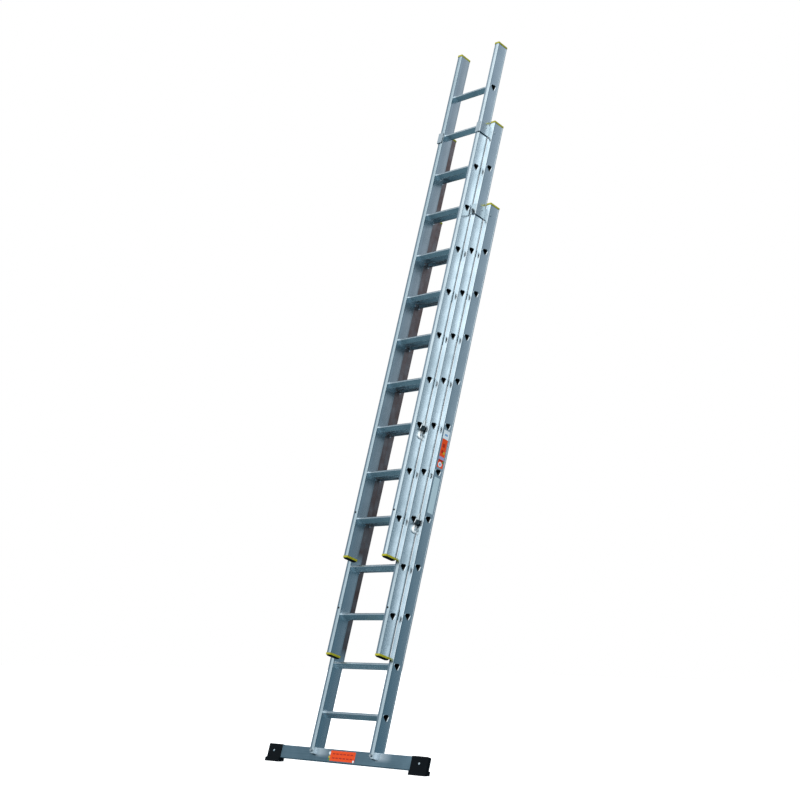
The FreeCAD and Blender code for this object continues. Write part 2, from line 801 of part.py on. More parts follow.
def hook(section):
    """Gravity hook on the right stile's outer web, seated on a rung of the section behind."""
    x = half_width(section) + size("hook_side_clearance")
    place = upright(section, x, size("hook_depth"), size("hook_rise"))
    body = new_body(section + "_hook", place)
    lobe = new_sketch(body, "lobe", "YZ_Plane")
    add_circle(lobe, ("0", "0"), "hook_lobe")
    pad(lobe, "hook_plate")
    arm = new_sketch(body, "arm", "YZ_Plane")
    throat = RUNG_BACK + " - tread_half - tread_radius - hook_lip_clearance"
    lip = RUNG_BACK + " + tread_half + tread_radius + hook_lip_clearance"
    seat = TREAD + " + hook_seat_clearance"
    add_outline(
        arm,
        [
            ("hook_root_back", "0"),
            (throat, RUNG_UP + " + tread_rise / 2"),
            (throat, seat),
            (lip, seat),
            (lip, TREAD + " - hook_lip_drop"),
            (lip + " + hook_lip", TREAD + " - hook_lip_drop"),
            (lip + " + hook_lip", seat + " + hook_seat"),
            (throat + " - hook_neck / 2", seat + " + hook_seat"),
            (throat + " - hook_neck", RUNG_UP),
            ("-hook_root_front", "hook_root_rise"),
        ],
    )
    plate = pad(arm, "hook_plate")
    top = size(seat + " + hook_seat")
    round_edges(
        plate,
        "hook_corner",
        lambda middle, direction: crosses(middle, direction) and abs(middle.z - top) < NEAR,
    )
    tab = new_sketch(body, "tab", "YZ_Plane", "hook_plate")
    foot = "(hook_tab_back + hook_tab_low * sin(lean)) / cos(lean)"
    tip = "(hook_tab_back + hook_tab_high * sin(lean)) / cos(lean)"
    add_outline(
        tab,
        [
            (foot + " - hook_tab_foot", "hook_tab_low"),
            (foot, "hook_tab_low"),
            (tip, "hook_tab_high"),
            (tip + " - hook_tab_tip", "hook_tab_high"),
        ],
    )
    pad(tab, "hook_tab")
    cut_round_hole(body, "pivot", "YZ_Plane", ("0", "0"), "pivot_radius + pivot_clearance")
    return body


for name in ("middle", "fly"):
    keep_pair(hook(name), name + "_hook")

# --------------------------------------------------------------------------------------
# Guide shoes
# --------------------------------------------------------------------------------------


def guide_shoe(section):
    """Wedge behind the lower end of the right stile, which runs over the rungs behind."""
    x = half_width(section) - size("stile_width / 2")
    body = new_body(section + "_shoe", leaning(section, x, size("stile_depth"), size("shoe_rise")))
    outline = new_sketch(body, "outline", "YZ_Plane")
    add_outline(
        outline,
        [
            ("0", "0"),
            ("shoe_reach", "0"),
            ("shoe_reach", "shoe_heel"),
            ("shoe_toe", "shoe_height"),
            ("0", "shoe_height"),
        ],
    )
    pad(outline, "shoe_width", symmetric=True)
    cut_round_hole(body, "bolt", "XZ_Plane", ("0", "shoe_bolt_rise"), "shoe_bolt_radius")
    return body


for name in ("middle", "fly"):
    keep_both_sides([guide_shoe(name)], name + "_guide_shoes")

# --------------------------------------------------------------------------------------
# Stabiliser bar and feet
# --------------------------------------------------------------------------------------


def stabiliser_bar():
    """Rectangular tube in the notches at the lower ends of the base stiles."""
    place = leaning("base", 0, size("bar_depth"), size("-bar_drop"))
    body = new_body("bar", place)
    outline = new_sketch(body, "outline", "YZ_Plane")
    add_rectangle(outline, "0", "bar_thickness", "0", "bar_height")
    tube = pad(outline, "2 * bar_half_length", symmetric=True)
    round_edges(tube, "bar_corner", crosses)
    bore = new_sketch(body, "bore", "YZ_Plane")
    add_rectangle(
        bore, "bar_wall", "bar_thickness - bar_wall", "bar_wall", "bar_height - bar_wall"
    )
    pocket(bore)
    holes = new_sketch(body, "holes", "XZ_Plane")
    stile_middle = "(fly_half_width + %d * (stile_width + side_gap) - stile_width / 2)" % (
        SECTIONS["fly"]
    )
    for sign in ("", "-"):
        bolt = (sign + stile_middle, "bar_bolt_rise + bar_drop")
        add_circle(holes, bolt, "bar_bolt_radius")
        end = (sign + "(bar_half_length - foot_rivet)", "bar_height / 2")
        add_circle(holes, end, "rivet_radius")
    pocket(holes)
    return body


def rubber_foot():
    """Moulded boot over the right end of the bar, with a sole that lies flat on the floor."""
    body = new_body("foot", leaning("base", size("bar_half_length - foot_length"), 0, 0))
    front = "bar_depth - foot_wall"
    back = "bar_depth + bar_thickness + foot_wall"
    sole = "((%s) * sin(lean) - floor_height) / cos(lean)"
    outline = new_sketch(body, "outline", "YZ_Plane")
    add_outline(
        outline,
        [
            (front, sole % front),
            (back, sole % back),
            (back, "bar_lap + foot_wall"),
            (front, "bar_lap + foot_wall"),
        ],
    )
    block = pad(outline, "foot_length + foot_end")
    round_edges(
        block,
        "foot_wall",
        lambda middle, direction: crosses(middle, direction) and middle.z > 0,
    )
    front += " - flange_width"
    back += " + flange_width"
    flange = new_sketch(body, "flange", "YZ_Plane")
    add_outline(
        flange,
        [
            (front, sole % front),
            (back, sole % back),
            (back, sole % back + " + flange_height"),
            (front, sole % front + " + flange_height"),
        ],
    )
    round_edges(
        pad(flange, "foot_length + foot_end + flange_width"),
        "flange_corner",
        lambda middle, direction: rises(middle, direction)
        and middle.x > size("foot_length + foot_end"),
    )
    inside = new_sketch(body, "inside", "YZ_Plane")
    add_rectangle(
        inside, "bar_depth", "bar_depth + bar_thickness", "-bar_drop", "bar_lap"
    )
    cavity = pocket(inside, one_way=True, reverse=True)
    cavity.Type = "Length"
    cavity.setExpression("Length", cell("foot_length"))
    rivet_hole = ("foot_length - foot_rivet", "bar_lap - bar_height / 2")
    cut_round_hole(body, "rivet", "XZ_Plane", rivet_hole, "rivet_radius")
    return body


keep(stabiliser_bar(), "stabiliser_bar")
keep_both_sides([rubber_foot()], "rubber_feet")

# --------------------------------------------------------------------------------------
# Check and write
# --------------------------------------------------------------------------------------

doc.recompute()
for item in doc.Objects:
    if "Invalid" in item.State or "Error" in item.State:
        raise RuntimeError("%s did not compute" % item.Name)
for node in nodes:
    if node.Shape.isNull() or not node.Shape.isValid():
        raise RuntimeError("%s has no valid shape" % node.Label)
    node.Shape.exportStep("parts/%s.step" % node.Label)
print("%d nodes written" % len(nodes))
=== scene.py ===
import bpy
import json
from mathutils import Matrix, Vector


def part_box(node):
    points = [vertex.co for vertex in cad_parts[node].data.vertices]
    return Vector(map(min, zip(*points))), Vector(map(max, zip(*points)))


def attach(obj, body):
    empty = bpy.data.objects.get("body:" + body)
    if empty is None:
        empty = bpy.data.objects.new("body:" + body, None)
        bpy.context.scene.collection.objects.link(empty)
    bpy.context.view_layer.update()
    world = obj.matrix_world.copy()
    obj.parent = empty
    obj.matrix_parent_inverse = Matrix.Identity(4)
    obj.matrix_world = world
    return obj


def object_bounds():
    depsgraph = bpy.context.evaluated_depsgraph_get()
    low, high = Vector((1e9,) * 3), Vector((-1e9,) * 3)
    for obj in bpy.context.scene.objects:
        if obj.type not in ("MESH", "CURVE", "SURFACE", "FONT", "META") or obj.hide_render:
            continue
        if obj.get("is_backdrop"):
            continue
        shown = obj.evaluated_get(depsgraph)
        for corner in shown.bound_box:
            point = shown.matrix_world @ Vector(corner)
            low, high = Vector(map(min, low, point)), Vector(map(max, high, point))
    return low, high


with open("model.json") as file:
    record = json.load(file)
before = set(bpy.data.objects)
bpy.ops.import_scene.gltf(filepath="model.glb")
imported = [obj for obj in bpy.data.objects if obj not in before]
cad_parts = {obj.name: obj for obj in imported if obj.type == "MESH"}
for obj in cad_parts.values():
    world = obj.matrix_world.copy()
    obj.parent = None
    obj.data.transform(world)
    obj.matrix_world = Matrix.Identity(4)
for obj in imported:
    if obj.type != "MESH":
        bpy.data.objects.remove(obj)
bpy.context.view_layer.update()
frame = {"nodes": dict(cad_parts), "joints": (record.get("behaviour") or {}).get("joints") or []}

import json
from math import atan2, cos, pi, radians, sin

import bmesh
import bpy
import numpy as np
from bpy.props import FloatProperty, FloatVectorProperty, IntProperty, PointerProperty
from mathutils import Matrix, Vector

bl_info = {
    "name": "Extension ladder looks",
    "version": (1, 0, 0),
    "blender": (4, 5, 0),
    "location": "3D View > Sidebar > Ladder",
    "description": "Finishes, treads, soles, labels and a studio for the extension ladder",
    "category": "Object",
}

SECTIONS = ("base", "middle", "fly")
# The sections that hold another one in their brackets, and the sections that slide in them.
HOLDING, SLIDING = SECTIONS[:-1], SECTIONS[1:]
SIDES = ("left", "right")
MILLIMETRE = 0.001

# --------------------------------------------------------------------------------------
# Places, taken from the frame
# --------------------------------------------------------------------------------------

slide = next(joint for joint in frame["joints"] if joint["type"] == "slide")
LEAN = atan2(slide["axis"][1], slide["axis"][2])
# Turns ladder axes (x across, y depth, z along the stiles) into the room's.
TILT = Matrix.Rotation(-LEAN, 4, "X")


def vertices_of(node):
    """The vertices of a CAD node as rows of x, y and z in the room."""
    mesh = frame["nodes"][node].data
    flat = np.empty(len(mesh.vertices) * 3)
    mesh.vertices.foreach_get("co", flat)
    return flat.reshape(-1, 3)


def leaning_vertices(node):
    """The same in the ladder's own axes: x, depth and rise along the stiles."""
    return vertices_of(node) @ np.array(TILT.to_3x3())


def leaning_box(node):
    """The lowest and the highest corner of a CAD node in the ladder's own axes."""
    points = leaning_vertices(node)
    return Vector(points.min(axis=0)), Vector(points.max(axis=0))


def rung_name(section, number):
    return "%s_rung_%02d" % (section, number)


def rungs_of(section):
    return sorted(name for name in frame["nodes"] if name.startswith(section + "_rung_"))


def axis_of(node):
    """Middle of a rung's axis in the room."""
    low, high = (Vector(corner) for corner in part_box(node))
    return (low + high) / 2


# --------------------------------------------------------------------------------------
# Settings that a user would change
# --------------------------------------------------------------------------------------


def colour_setting(name, description, default):
    return FloatVectorProperty(
        name=name, description=description, subtype="COLOR", size=3, min=0, max=1, default=default
    )


def length_setting(name, description, millimetres):
    return FloatProperty(
        name=name,
        description=description,
        subtype="DISTANCE",
        unit="LENGTH",
        min=0,
        default=millimetres * MILLIMETRE,
    )


def share_setting(name, description, default):
    return FloatProperty(
        name=name, description=description, subtype="FACTOR", min=0, max=1, default=default
    )


def number_setting(name, description, default):
    return FloatProperty(
        name=name, description=description, subtype="UNSIGNED", min=0, default=default
    )


def angle_setting(name, description, degrees):
    return FloatProperty(
        name=name, description=description, subtype="ANGLE", default=radians(degrees)
    )


class LadderFinishes(bpy.types.PropertyGroup):
    """Colours and smoothness of the ladder's materials"""

    stile: colour_setting("Stile", "Mill-finished extrusion", (0.80, 0.88, 0.93))
    stile_dull: colour_setting("Stile dull", "Duller streaks of the extrusion", (0.66, 0.75, 0.80))
    # Painted shade on the inner faces, mostly where the next section covers them.
    inner: colour_setting("Inner face", "Soil of the inner faces", (0.20, 0.10, 0.082))
    # Painted shade on the fronts of the stiles.
    front_shade: colour_setting("Handled", "Worn fronts of the stiles", (0.36, 0.46, 0.51))
    rung: colour_setting("Rung", "Drawn rung tube", (0.62, 0.70, 0.74))
    # Also used for the painted shade on the beads of the stiles.
    rung_dull: colour_setting("Rung dull", "Duller streaks of the rungs", (0.44, 0.52, 0.56))
    # Painted shade inside the rungs.
    bore: colour_setting("Rung bore", "Soiled inside of the rungs", (0.006, 0.007, 0.008))
    bar: colour_setting("Bar", "Stabiliser bar", (0.20, 0.30, 0.36))
    bar_dull: colour_setting("Bar dull", "Duller streaks of the bar", (0.13, 0.21, 0.26))
    casting: colour_setting("Casting", "Brightest metal of the rung hooks", (0.95, 0.97, 0.97))
    plate: colour_setting("Plate", "Guide brackets", (0.64, 0.72, 0.76))
    steel: colour_setting("Steel", "Zinc-plated bolts and nuts", (0.26, 0.29, 0.31))
    cap: colour_setting("Cap", "Yellow end caps", (0.80, 0.70, 0.03))
    black: colour_setting("Black", "Guide shoes and soles", (0.006, 0.009, 0.014))
    # Dark colour of the arms and tabs of the hooks.
    hook_dark: colour_setting("Dip", "Dipped skin of the hooks", (0.012, 0.035, 0.048))
    rubber: colour_setting("Rubber", "Feet of the bar", (0.0035, 0.006, 0.009))
    smooth: share_setting("Smooth", "Roughness of the brightest metal", 0.20)
    rough: share_setting("Rough", "Roughness of the dullest metal", 0.32)
    hollow: number_setting("Hollow", "Curvature of the hollow webs", 1.8)
    bead: length_setting("Bead", "Width of the beads along the webs", 9)
    # Behind the front edges of the inner faces the painted shade falls to a quarter.
    strip: length_setting("Strip", "Clean strip behind the front edges, inside", 12)
    lobe: length_setting("Lobe", "Radius of the lobes of the hooks", 22)
    # Reach of the dark colour of the hooks from the pivot.
    darkened: length_setting("Dipped", "Reach of the dipped skin of the hooks", 52)
    hook_plate: length_setting("Hook plate", "Part of a hook that has no dipped skin", 4)
    # Painted highlight on the bar beside each stile.
    painted_highlight: length_setting("Rubbed", "Bright part of the bar beside each stile", 105)
    dome: number_setting("Dome", "Curvature of the lobes of the hooks", 14.0)
    # Painted highlight on the ends of the rungs over this length.
    swage: length_setting("Swage", "Length of the worked ends of the rungs", 24)
    # Over this length from the mouth the painted shade in the bores fades in.
    bore_shade_fade: length_setting("Bore light", "Clean part of the rung bores", 5)


class LadderTreads(bpy.types.PropertyGroup):
    """Ribs on the treads of the rungs"""

    ribs: IntProperty(name="Ribs", description="Ribs on each tread", min=1, default=7)
    spacing: length_setting("Spacing", "Distance between neighbouring ribs", 3.0)
    radius: length_setting("Radius", "Radius of a rib", 0.9)
    sink: length_setting("Sink", "How far a rib's middle lies under the tread", 0.35)
    margin: length_setting("Margin", "Plain part of the rung beside each collar", 6)
    drop: length_setting("Drop", "How far the tread lies below the top of the collars", 3.2)


class LadderSoles(bpy.types.PropertyGroup):
    """Black domed soles under the lower end caps"""

    thickness: length_setting("Thickness", "Depth of the dome under the cap", 6)
    inset: length_setting("Inset", "Rim of the cap that stays uncovered", 1.5)


class LadderStuds(bpy.types.PropertyGroup):
    """Rivet heads on the plates of the guide brackets"""

    radius: length_setting("Radius", "Radius of a head", 4)
    height: share_setting("Height", "Height of a head as a share of its radius", 0.45)
    reach: share_setting("Reach", "Place between the stile and the front of the bracket", 0.35)
    rise: share_setting("Rise", "Place between the lower and the upper edge", 0.66)


class LadderLabels(bpy.types.PropertyGroup):
    """Plain labels on the bar and on the right base stile"""

    film: length_setting("Film", "Thickness of each layer of a label", 0.15)
    bar_width: length_setting("Bar label width", "Long side of the label on the bar", 178)
    bar_height: length_setting("Bar label height", "Short side of the label on the bar", 50)
    stile_width: length_setting("Stile label width", "Width of the labels on the stile", 43)
    sticker_length: length_setting("Sticker length", "Length of the pale sticker", 190)
    orange: colour_setting("Orange", "Main colour of the labels", (0.95, 0.085, 0.008))
    deep_orange: colour_setting("Deep orange", "Marks on the labels", (0.50, 0.028, 0.006))
    white: colour_setting("White", "White parts", (0.86, 0.93, 0.96))
    violet: colour_setting("Violet", "Pale violet patch", (0.42, 0.36, 0.60))
    blue: colour_setting("Blue", "Middle of the round mark", (0.22, 0.42, 0.70))
    green: colour_setting("Green", "Green marks", (0.05, 0.30, 0.08))
    yellow: colour_setting("Yellow", "Yellow marks", (0.62, 0.42, 0.03))
    silver: colour_setting("Silver", "Pale sticker", (0.55, 0.70, 0.76))


class LadderStudio(bpy.types.PropertyGroup):
    """Camera, floor and light"""

    azimuth: angle_setting("Azimuth", "Turn of the camera from the climber's side", 45.96)
    elevation: angle_setting("Elevation", "Height angle of the camera over its target", -9.2467)
    roll: angle_setting("Roll", "Turn of the camera about its own axis", 1.2935)
    distance: length_setting("Distance", "Camera to target", 8118)
    lens: FloatProperty(name="Lens", description="Focal length", unit="CAMERA", default=69.996)
    aim: FloatVectorProperty(
        name="Aim",
        description="Target, from the middle of the ladder",
        subtype="TRANSLATION",
        unit="LENGTH",
        default=(-0.078, -0.058, -0.0975),
    )
    floor_size: length_setting("Floor", "Side of the floor", 60000)
    key: number_setting("Key", "Strength of the soft key light", 1.0)
    background: colour_setting("Background", "Colour behind the ladder", (1.0, 1.0, 1.0))


# --------------------------------------------------------------------------------------
# Node helpers
# --------------------------------------------------------------------------------------

# Sockets of a node that mixes two colours.
MIX_SHARE, MIX_FIRST, MIX_SECOND, MIX_RESULT = 0, 6, 7, 2
# Keeps depth and height of a vector, and drops its part across the ladder.
NOT_ACROSS = (0, 1, 1)


def add_node(tree, kind, inputs=None, **settings):
    """A node with its settings; each input is a value or another node's output socket."""
    node = tree.nodes.new(kind)
    for name, value in settings.items():
        setattr(node, name, value)
    for name, value in (inputs or {}).items():
        socket = node.inputs[name]
        if isinstance(value, bpy.types.NodeSocket):
            tree.links.new(value, socket)
        else:
            socket.default_value = value
    return node


def math_node(tree, operation, *values):
    return add_node(tree, "ShaderNodeMath", dict(enumerate(values)), operation=operation).outputs[0]


def vector_math(tree, operation, *values, output="Vector"):
    node = add_node(tree, "ShaderNodeVectorMath", dict(enumerate(values)), operation=operation)
    return node.outputs[output]


def product(tree, first, *others):
    for other in others:
        first = math_node(tree, "MULTIPLY", first, other)
    return first


def lengthened(tree, vector, factor):
    inputs = {"Vector": vector, "Scale": factor}
    return add_node(tree, "ShaderNodeVectorMath", inputs, operation="SCALE").outputs["Vector"]


def noise(tree, vector, scale, detail=2.0, roughness=0.5):
    inputs = {"Vector": vector, "Scale": scale, "Detail": detail, "Roughness": roughness}
    return add_node(tree, "ShaderNodeTexNoise", inputs).outputs["Fac"]


def spread(tree, value, low, high, start=0.0, end=1.0):
    """Bring a value from the range low to high into the range start to end, and clamp it."""
    inputs = {
        "Value": value,
        "From Min": low,
        "From Max": high,
        "To Min": start,
        "To Max": end,
    }
    return add_node(tree, "ShaderNodeMapRange", inputs).outputs["Result"]


def mix(tree, share, first, second):
    """Mix two colours."""
    inputs = {MIX_SHARE: share, MIX_FIRST: first, MIX_SECOND: second}
    return add_node(tree, "ShaderNodeMix", inputs, data_type="RGBA").outputs[MIX_RESULT]


def opaque(colour):
    return (*colour, 1.0)


def toned(colour, factor, added=0.0):
    """A paler or a deeper tone of a colour."""
    return opaque(min(1.0, channel * factor + added) for channel in colour)


def scaled(tree, vector, scale):
    inputs = {"Vector": vector, "Scale": scale}
    return add_node(tree, "ShaderNodeMapping", inputs).outputs["Vector"]


def upright(tree, vector):
    """A vector of the room in the ladder's axes: x, depth and rise."""
    inputs = {"Vector": vector, "Rotation": (LEAN, 0, 0)}
    return add_node(tree, "ShaderNodeMapping", inputs).outputs["Vector"]


def own_coordinates(tree):
    return add_node(tree, "ShaderNodeTexCoord").outputs["Object"]


def ladder_coordinates(tree):
    return upright(tree, own_coordinates(tree))


def face_direction(tree):
    return add_node(tree, "ShaderNodeNewGeometry").outputs["Normal"]


def parts_of(tree, vector):
    split = add_node(tree, "ShaderNodeSeparateXYZ", {"Vector": vector})
    return split.outputs["X"], split.outputs["Y"], split.outputs["Z"]


def squared_reach(tree, vector, y, z):
    """Square of the distance from a line that runs across the ladder."""
    away = vector_math(tree, "SUBTRACT", vector, (0, y, z))
    away = vector_math(tree, "MULTIPLY", away, NOT_ACROSS)
    return vector_math(tree, "DOT_PRODUCT", away, away, output="Value")


def bump(tree, height, distance, strength, normal=None):
    inputs = {"Height": height, "Distance": distance, "Strength": strength}
    if normal is not None:
        inputs["Normal"] = normal
    return add_node(tree, "ShaderNodeBump", inputs).outputs["Normal"]


def new_material(name):
    material = bpy.data.materials.new(name)
    material.use_nodes = True
    material.node_tree.nodes.clear()
    return material


def surface(material, inputs):
    """Finish a material with one principled shader."""
    tree = material.node_tree
    shader = add_node(tree, "ShaderNodeBsdfPrincipled", inputs)
    output = add_node(tree, "ShaderNodeOutputMaterial")
    tree.links.new(shader.outputs[0], output.inputs["Surface"])
    return material


def metal(material, colour, roughness, normal, metallic=1.0):
    inputs = {
        "Base Color": colour,
        "Roughness": roughness,
        "Metallic": metallic,
        "Normal": normal,
    }
    return surface(material, inputs)


# --------------------------------------------------------------------------------------
# Metal finishes
# --------------------------------------------------------------------------------------

# Features of each pattern in a metre, and of the grain along and across its lines.
ALONG, ACROSS = 3.0, 420.0
STAINS, WAVES, PATCHES, SPECKS = 7.0, 16.0, 11.0, 160.0
CAST_STAINS, CAST_GRAINS = 45.0, 700.0
ZINC_STAINS, ZINC_CRYSTALS = 90.0, 420.0
STILE_GRAIN = (ACROSS, ACROSS, ALONG)
TUBE_GRAIN = (ALONG, ACROSS, ACROSS)
PLATE_GRAIN = (ACROSS, 4.0, ACROSS)
# Wear of the dullest and of the brightest metal, and what lines and stains add to it.
DULLEST, BRIGHTEST = 0.36, 0.62
LINE_WEAR, STAIN_WEAR = 0.4, 0.6
# Painted shade inside and in front of the section that no other one covers.
OPEN_INNER_SHADE, OPEN_FRONT_SHADE = 0.2, 0.45
# Roughness at the two ends of each metal's pattern.
BAR_ROUGHNESS, PLATE_ROUGHNESS = (0.55, 0.32), (0.40, 0.24)
CAST_ROUGHNESS, ZINC_ROUGHNESS = (0.30, 0.44), (0.26, 0.42)
# Depth of the fine patterns.
LINE_DEPTH, GRAIN_DEPTH, WAVE_DEPTH = 0.3 * MILLIMETRE, 0.3 * MILLIMETRE, 2 * MILLIMETRE


def by_wear(tree, wear, dull=0.0, bright=1.0):
    """A value that runs from dull to bright metal."""
    return spread(tree, wear, DULLEST, BRIGHTEST, dull, bright)


def drawn_metal(tree, coordinates, grain, light, dull):
    """Die lines, stains and soft waves of drawn or extruded aluminium."""
    lines = noise(tree, scaled(tree, coordinates, grain), 1.0, detail=4.0, roughness=0.6)
    stains = noise(tree, coordinates, STAINS, detail=5.0, roughness=0.6)
    specks = noise(tree, coordinates, SPECKS, detail=3.0, roughness=0.6)
    wear = math_node(tree, "MULTIPLY_ADD", lines, LINE_WEAR, product(tree, stains, STAIN_WEAR))
    colour = mix(tree, by_wear(tree, wear), opaque(dull), opaque(light))
    colour = mix(tree, spread(tree, specks, 0.60, 0.72, end=0.10), colour, opaque(dull))
    normal = bump(tree, noise(tree, coordinates, WAVES), WAVE_DEPTH, strength=0.12)
    normal = bump(tree, lines, LINE_DEPTH, strength=0.03, normal=normal)
    return colour, wear, normal


def cover(tree, section, rise):
    """Shares of painted shade on the inner faces, where the next section covers, and on the fronts
    below it.
    """
    if section == SECTIONS[-1]:
        return OPEN_INNER_SHADE, OPEN_FRONT_SHADE
    following = SECTIONS[SECTIONS.index(section) + 1]
    foot = leaning_box(following + "_stile_right")[0].z
    inner_shade = spread(tree, rise, foot, foot + 60 * MILLIMETRE, 0.12, 1.0)
    # Painted shade on the fronts that lie open below the next section.
    worn = spread(tree, rise, foot - 10 * MILLIMETRE, foot, 0.8, 0.0)
    return inner_shade, worn


def stile_finish(section, finishes):
    """Extruded aluminium with hollow webs, and painted shade on the beads, on the fronts and on the
    inner faces.
    """
    material = new_material(section + "_stile_finish")
    tree = material.node_tree
    place = ladder_coordinates(tree)
    colour, wear, normal = drawn_metal(
        tree, place, STILE_GRAIN, finishes.stile, finishes.stile_dull
    )
    front, back = (corner.y for corner in leaning_box(section + "_stile_right"))
    half_depth = (back - front) / 2
    _, depth, rise = parts_of(tree, place)
    from_middle = math_node(tree, "SUBTRACT", depth, (front + back) / 2)
    across = parts_of(tree, own_coordinates(tree))[0]
    sideways, backward, _ = parts_of(tree, face_direction(tree))
    inner_shade, worn = cover(tree, section, rise)

    # The webs are slightly hollow, and the beads along their edges carry painted shade.
    web = spread(tree, math_node(tree, "ABSOLUTE", sideways), 0.8, 0.95)
    hollow = product(tree, from_middle, from_middle, web)
    normal = bump(tree, hollow, finishes.hollow, 1.0, normal)
    bead = half_depth - finishes.bead
    off_middle = math_node(tree, "ABSOLUTE", from_middle)
    beads = spread(tree, off_middle, bead - 2 * MILLIMETRE, bead + MILLIMETRE)
    # Painted shade on the beads, in the rungs' dull colour.
    colour = mix(tree, product(tree, beads, web, 0.5), colour, opaque(finishes.rung_dull))

    # The fronts carry painted shade where they lie open, and all along the left stiles.
    fronts = math_node(tree, "LESS_THAN", backward, -0.6)
    left = spread(tree, across, 0.0, -0.01, end=0.85)
    front_shade = product(tree, fronts, math_node(tree, "MAXIMUM", left, worn))
    colour = mix(tree, front_shade, colour, opaque(finishes.front_shade))

    # Painted shade darkens the inner faces in patches, and falls to a quarter in the strip behind
    # their front edge.
    inward = product(tree, sideways, math_node(tree, "SIGN", across))
    inner_faces = spread(tree, inward, -0.5, -0.9)
    patches = noise(tree, place, PATCHES, detail=4.0, roughness=0.65)
    patches = spread(tree, patches, 0.3, 0.7, 0.70, 0.95)
    edge = finishes.strip - half_depth
    strip = spread(tree, from_middle, edge, edge + finishes.strip, 0.25, 1.0)
    # Painted shade on the inner faces.
    painted_shade = product(tree, inner_faces, patches, inner_shade, strip)
    colour = mix(tree, painted_shade, colour, opaque(finishes.inner))
    return metal(material, colour, by_wear(tree, wear, finishes.rough, finishes.smooth), normal)


def from_nearest_axis(tree, place, names):
    """The way from the axis of the nearest rung, in the plane across the rungs."""
    lowest, highest = axis_of(names[0]), axis_of(names[-1])
    step = (highest - lowest) / (len(names) - 1)
    from_lowest = vector_math(tree, "SUBTRACT", place, lowest)
    rise = parts_of(tree, upright(tree, from_lowest))[2]
    nearest = math_node(tree, "ROUND", math_node(tree, "DIVIDE", rise, step.length))
    way = vector_math(tree, "SUBTRACT", from_lowest, lengthened(tree, step, nearest))
    return vector_math(tree, "MULTIPLY", way, NOT_ACROSS)


def rung_finish(section, finishes):
    """Drawn tube with a painted highlight on its ends and painted shade in its bore."""
    material = new_material(section + "_rung_finish")
    tree = material.node_tree
    place = own_coordinates(tree)
    colour, wear, normal = drawn_metal(tree, place, TUBE_GRAIN, finishes.rung, finishes.rung_dull)
    names = rungs_of(section)
    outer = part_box(names[0])[1][0]
    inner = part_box(section + "_stile_right")[0][0]
    from_centre = math_node(tree, "ABSOLUTE", parts_of(tree, place)[0])
    # Painted highlight: the ends of each rung take the brighter stile colour.
    highlighted = spread(tree, from_centre, inner - finishes.swage, inner - finishes.swage / 3)
    colour = mix(tree, highlighted, colour, opaque(finishes.stile))

    # Painted shade fills the bore and covers the bevel of its mouth, except on the bevel's back.
    face = face_direction(tree)
    sideways, backward, _ = parts_of(tree, face)
    way = from_nearest_axis(tree, place, names)
    outward = vector_math(tree, "DOT_PRODUCT", way, face, output="Value")
    inside = math_node(tree, "LESS_THAN", outward, -0.5 * MILLIMETRE)
    deep = spread(tree, from_centre, outer, outer - finishes.bore_shade_fade)
    bevel = math_node(tree, "GREATER_THAN", math_node(tree, "ABSOLUTE", sideways), 0.3)
    not_back = math_node(tree, "GREATER_THAN", backward, -0.3)
    deep = math_node(tree, "MAXIMUM", deep, product(tree, bevel, not_back))
    painted_shade = product(tree, inside, deep)
    colour = mix(tree, painted_shade, colour, opaque(finishes.bore))
    roughness = by_wear(tree, wear, finishes.rough, finishes.smooth)
    roughness = math_node(tree, "MAXIMUM", roughness, product(tree, painted_shade, 0.9))
    return metal(material, colour, roughness, normal, math_node(tree, "SUBTRACT", 1.0, painted_shade))


def bar_finish(finishes):
    """Dull tube, with a painted highlight on its upper part beside each stile."""
    material = new_material("bar_finish")
    tree = material.node_tree
    place = own_coordinates(tree)
    colour, wear, normal = drawn_metal(tree, place, TUBE_GRAIN, finishes.bar, finishes.bar_dull)
    across = parts_of(tree, place)[0]
    # Painted highlight: the upper part of the bar beside each stile takes the stile colour, fading
    # away from it.
    painted_highlight = 0.0
    for side in SIDES:
        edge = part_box("base_stile_" + side)[1][0]
        beside = math_node(tree, "GREATER_THAN", across, edge - 4 * MILLIMETRE)
        fading = spread(tree, across, edge, edge + finishes.painted_highlight, 1.0, 0.0)
        painted_highlight = math_node(tree, "MAXIMUM", painted_highlight, product(tree, beside, fading))
    low, high = (corner.z for corner in leaning_box("stabiliser_bar"))
    rise = parts_of(tree, ladder_coordinates(tree))[2]
    height = high - low
    painted_highlight = product(tree, painted_highlight, spread(tree, rise, low + height * 0.3, low + height * 0.6))
    colour = mix(tree, painted_highlight, colour, opaque(finishes.stile))
    roughness = by_wear(tree, wear, *BAR_ROUGHNESS)
    roughness = math_node(tree, "SUBTRACT", roughness, product(tree, painted_highlight, 0.15))
    return metal(material, colour, roughness, normal)


def plate_finish(finishes):
    """Pressed aluminium sheet with rolling lines."""
    material = new_material("plate_finish")
    tree = material.node_tree
    colour, wear, normal = drawn_metal(
        tree, ladder_coordinates(tree), PLATE_GRAIN, finishes.plate, finishes.rung_dull
    )
    return metal(material, colour, by_wear(tree, wear, *PLATE_ROUGHNESS), normal)


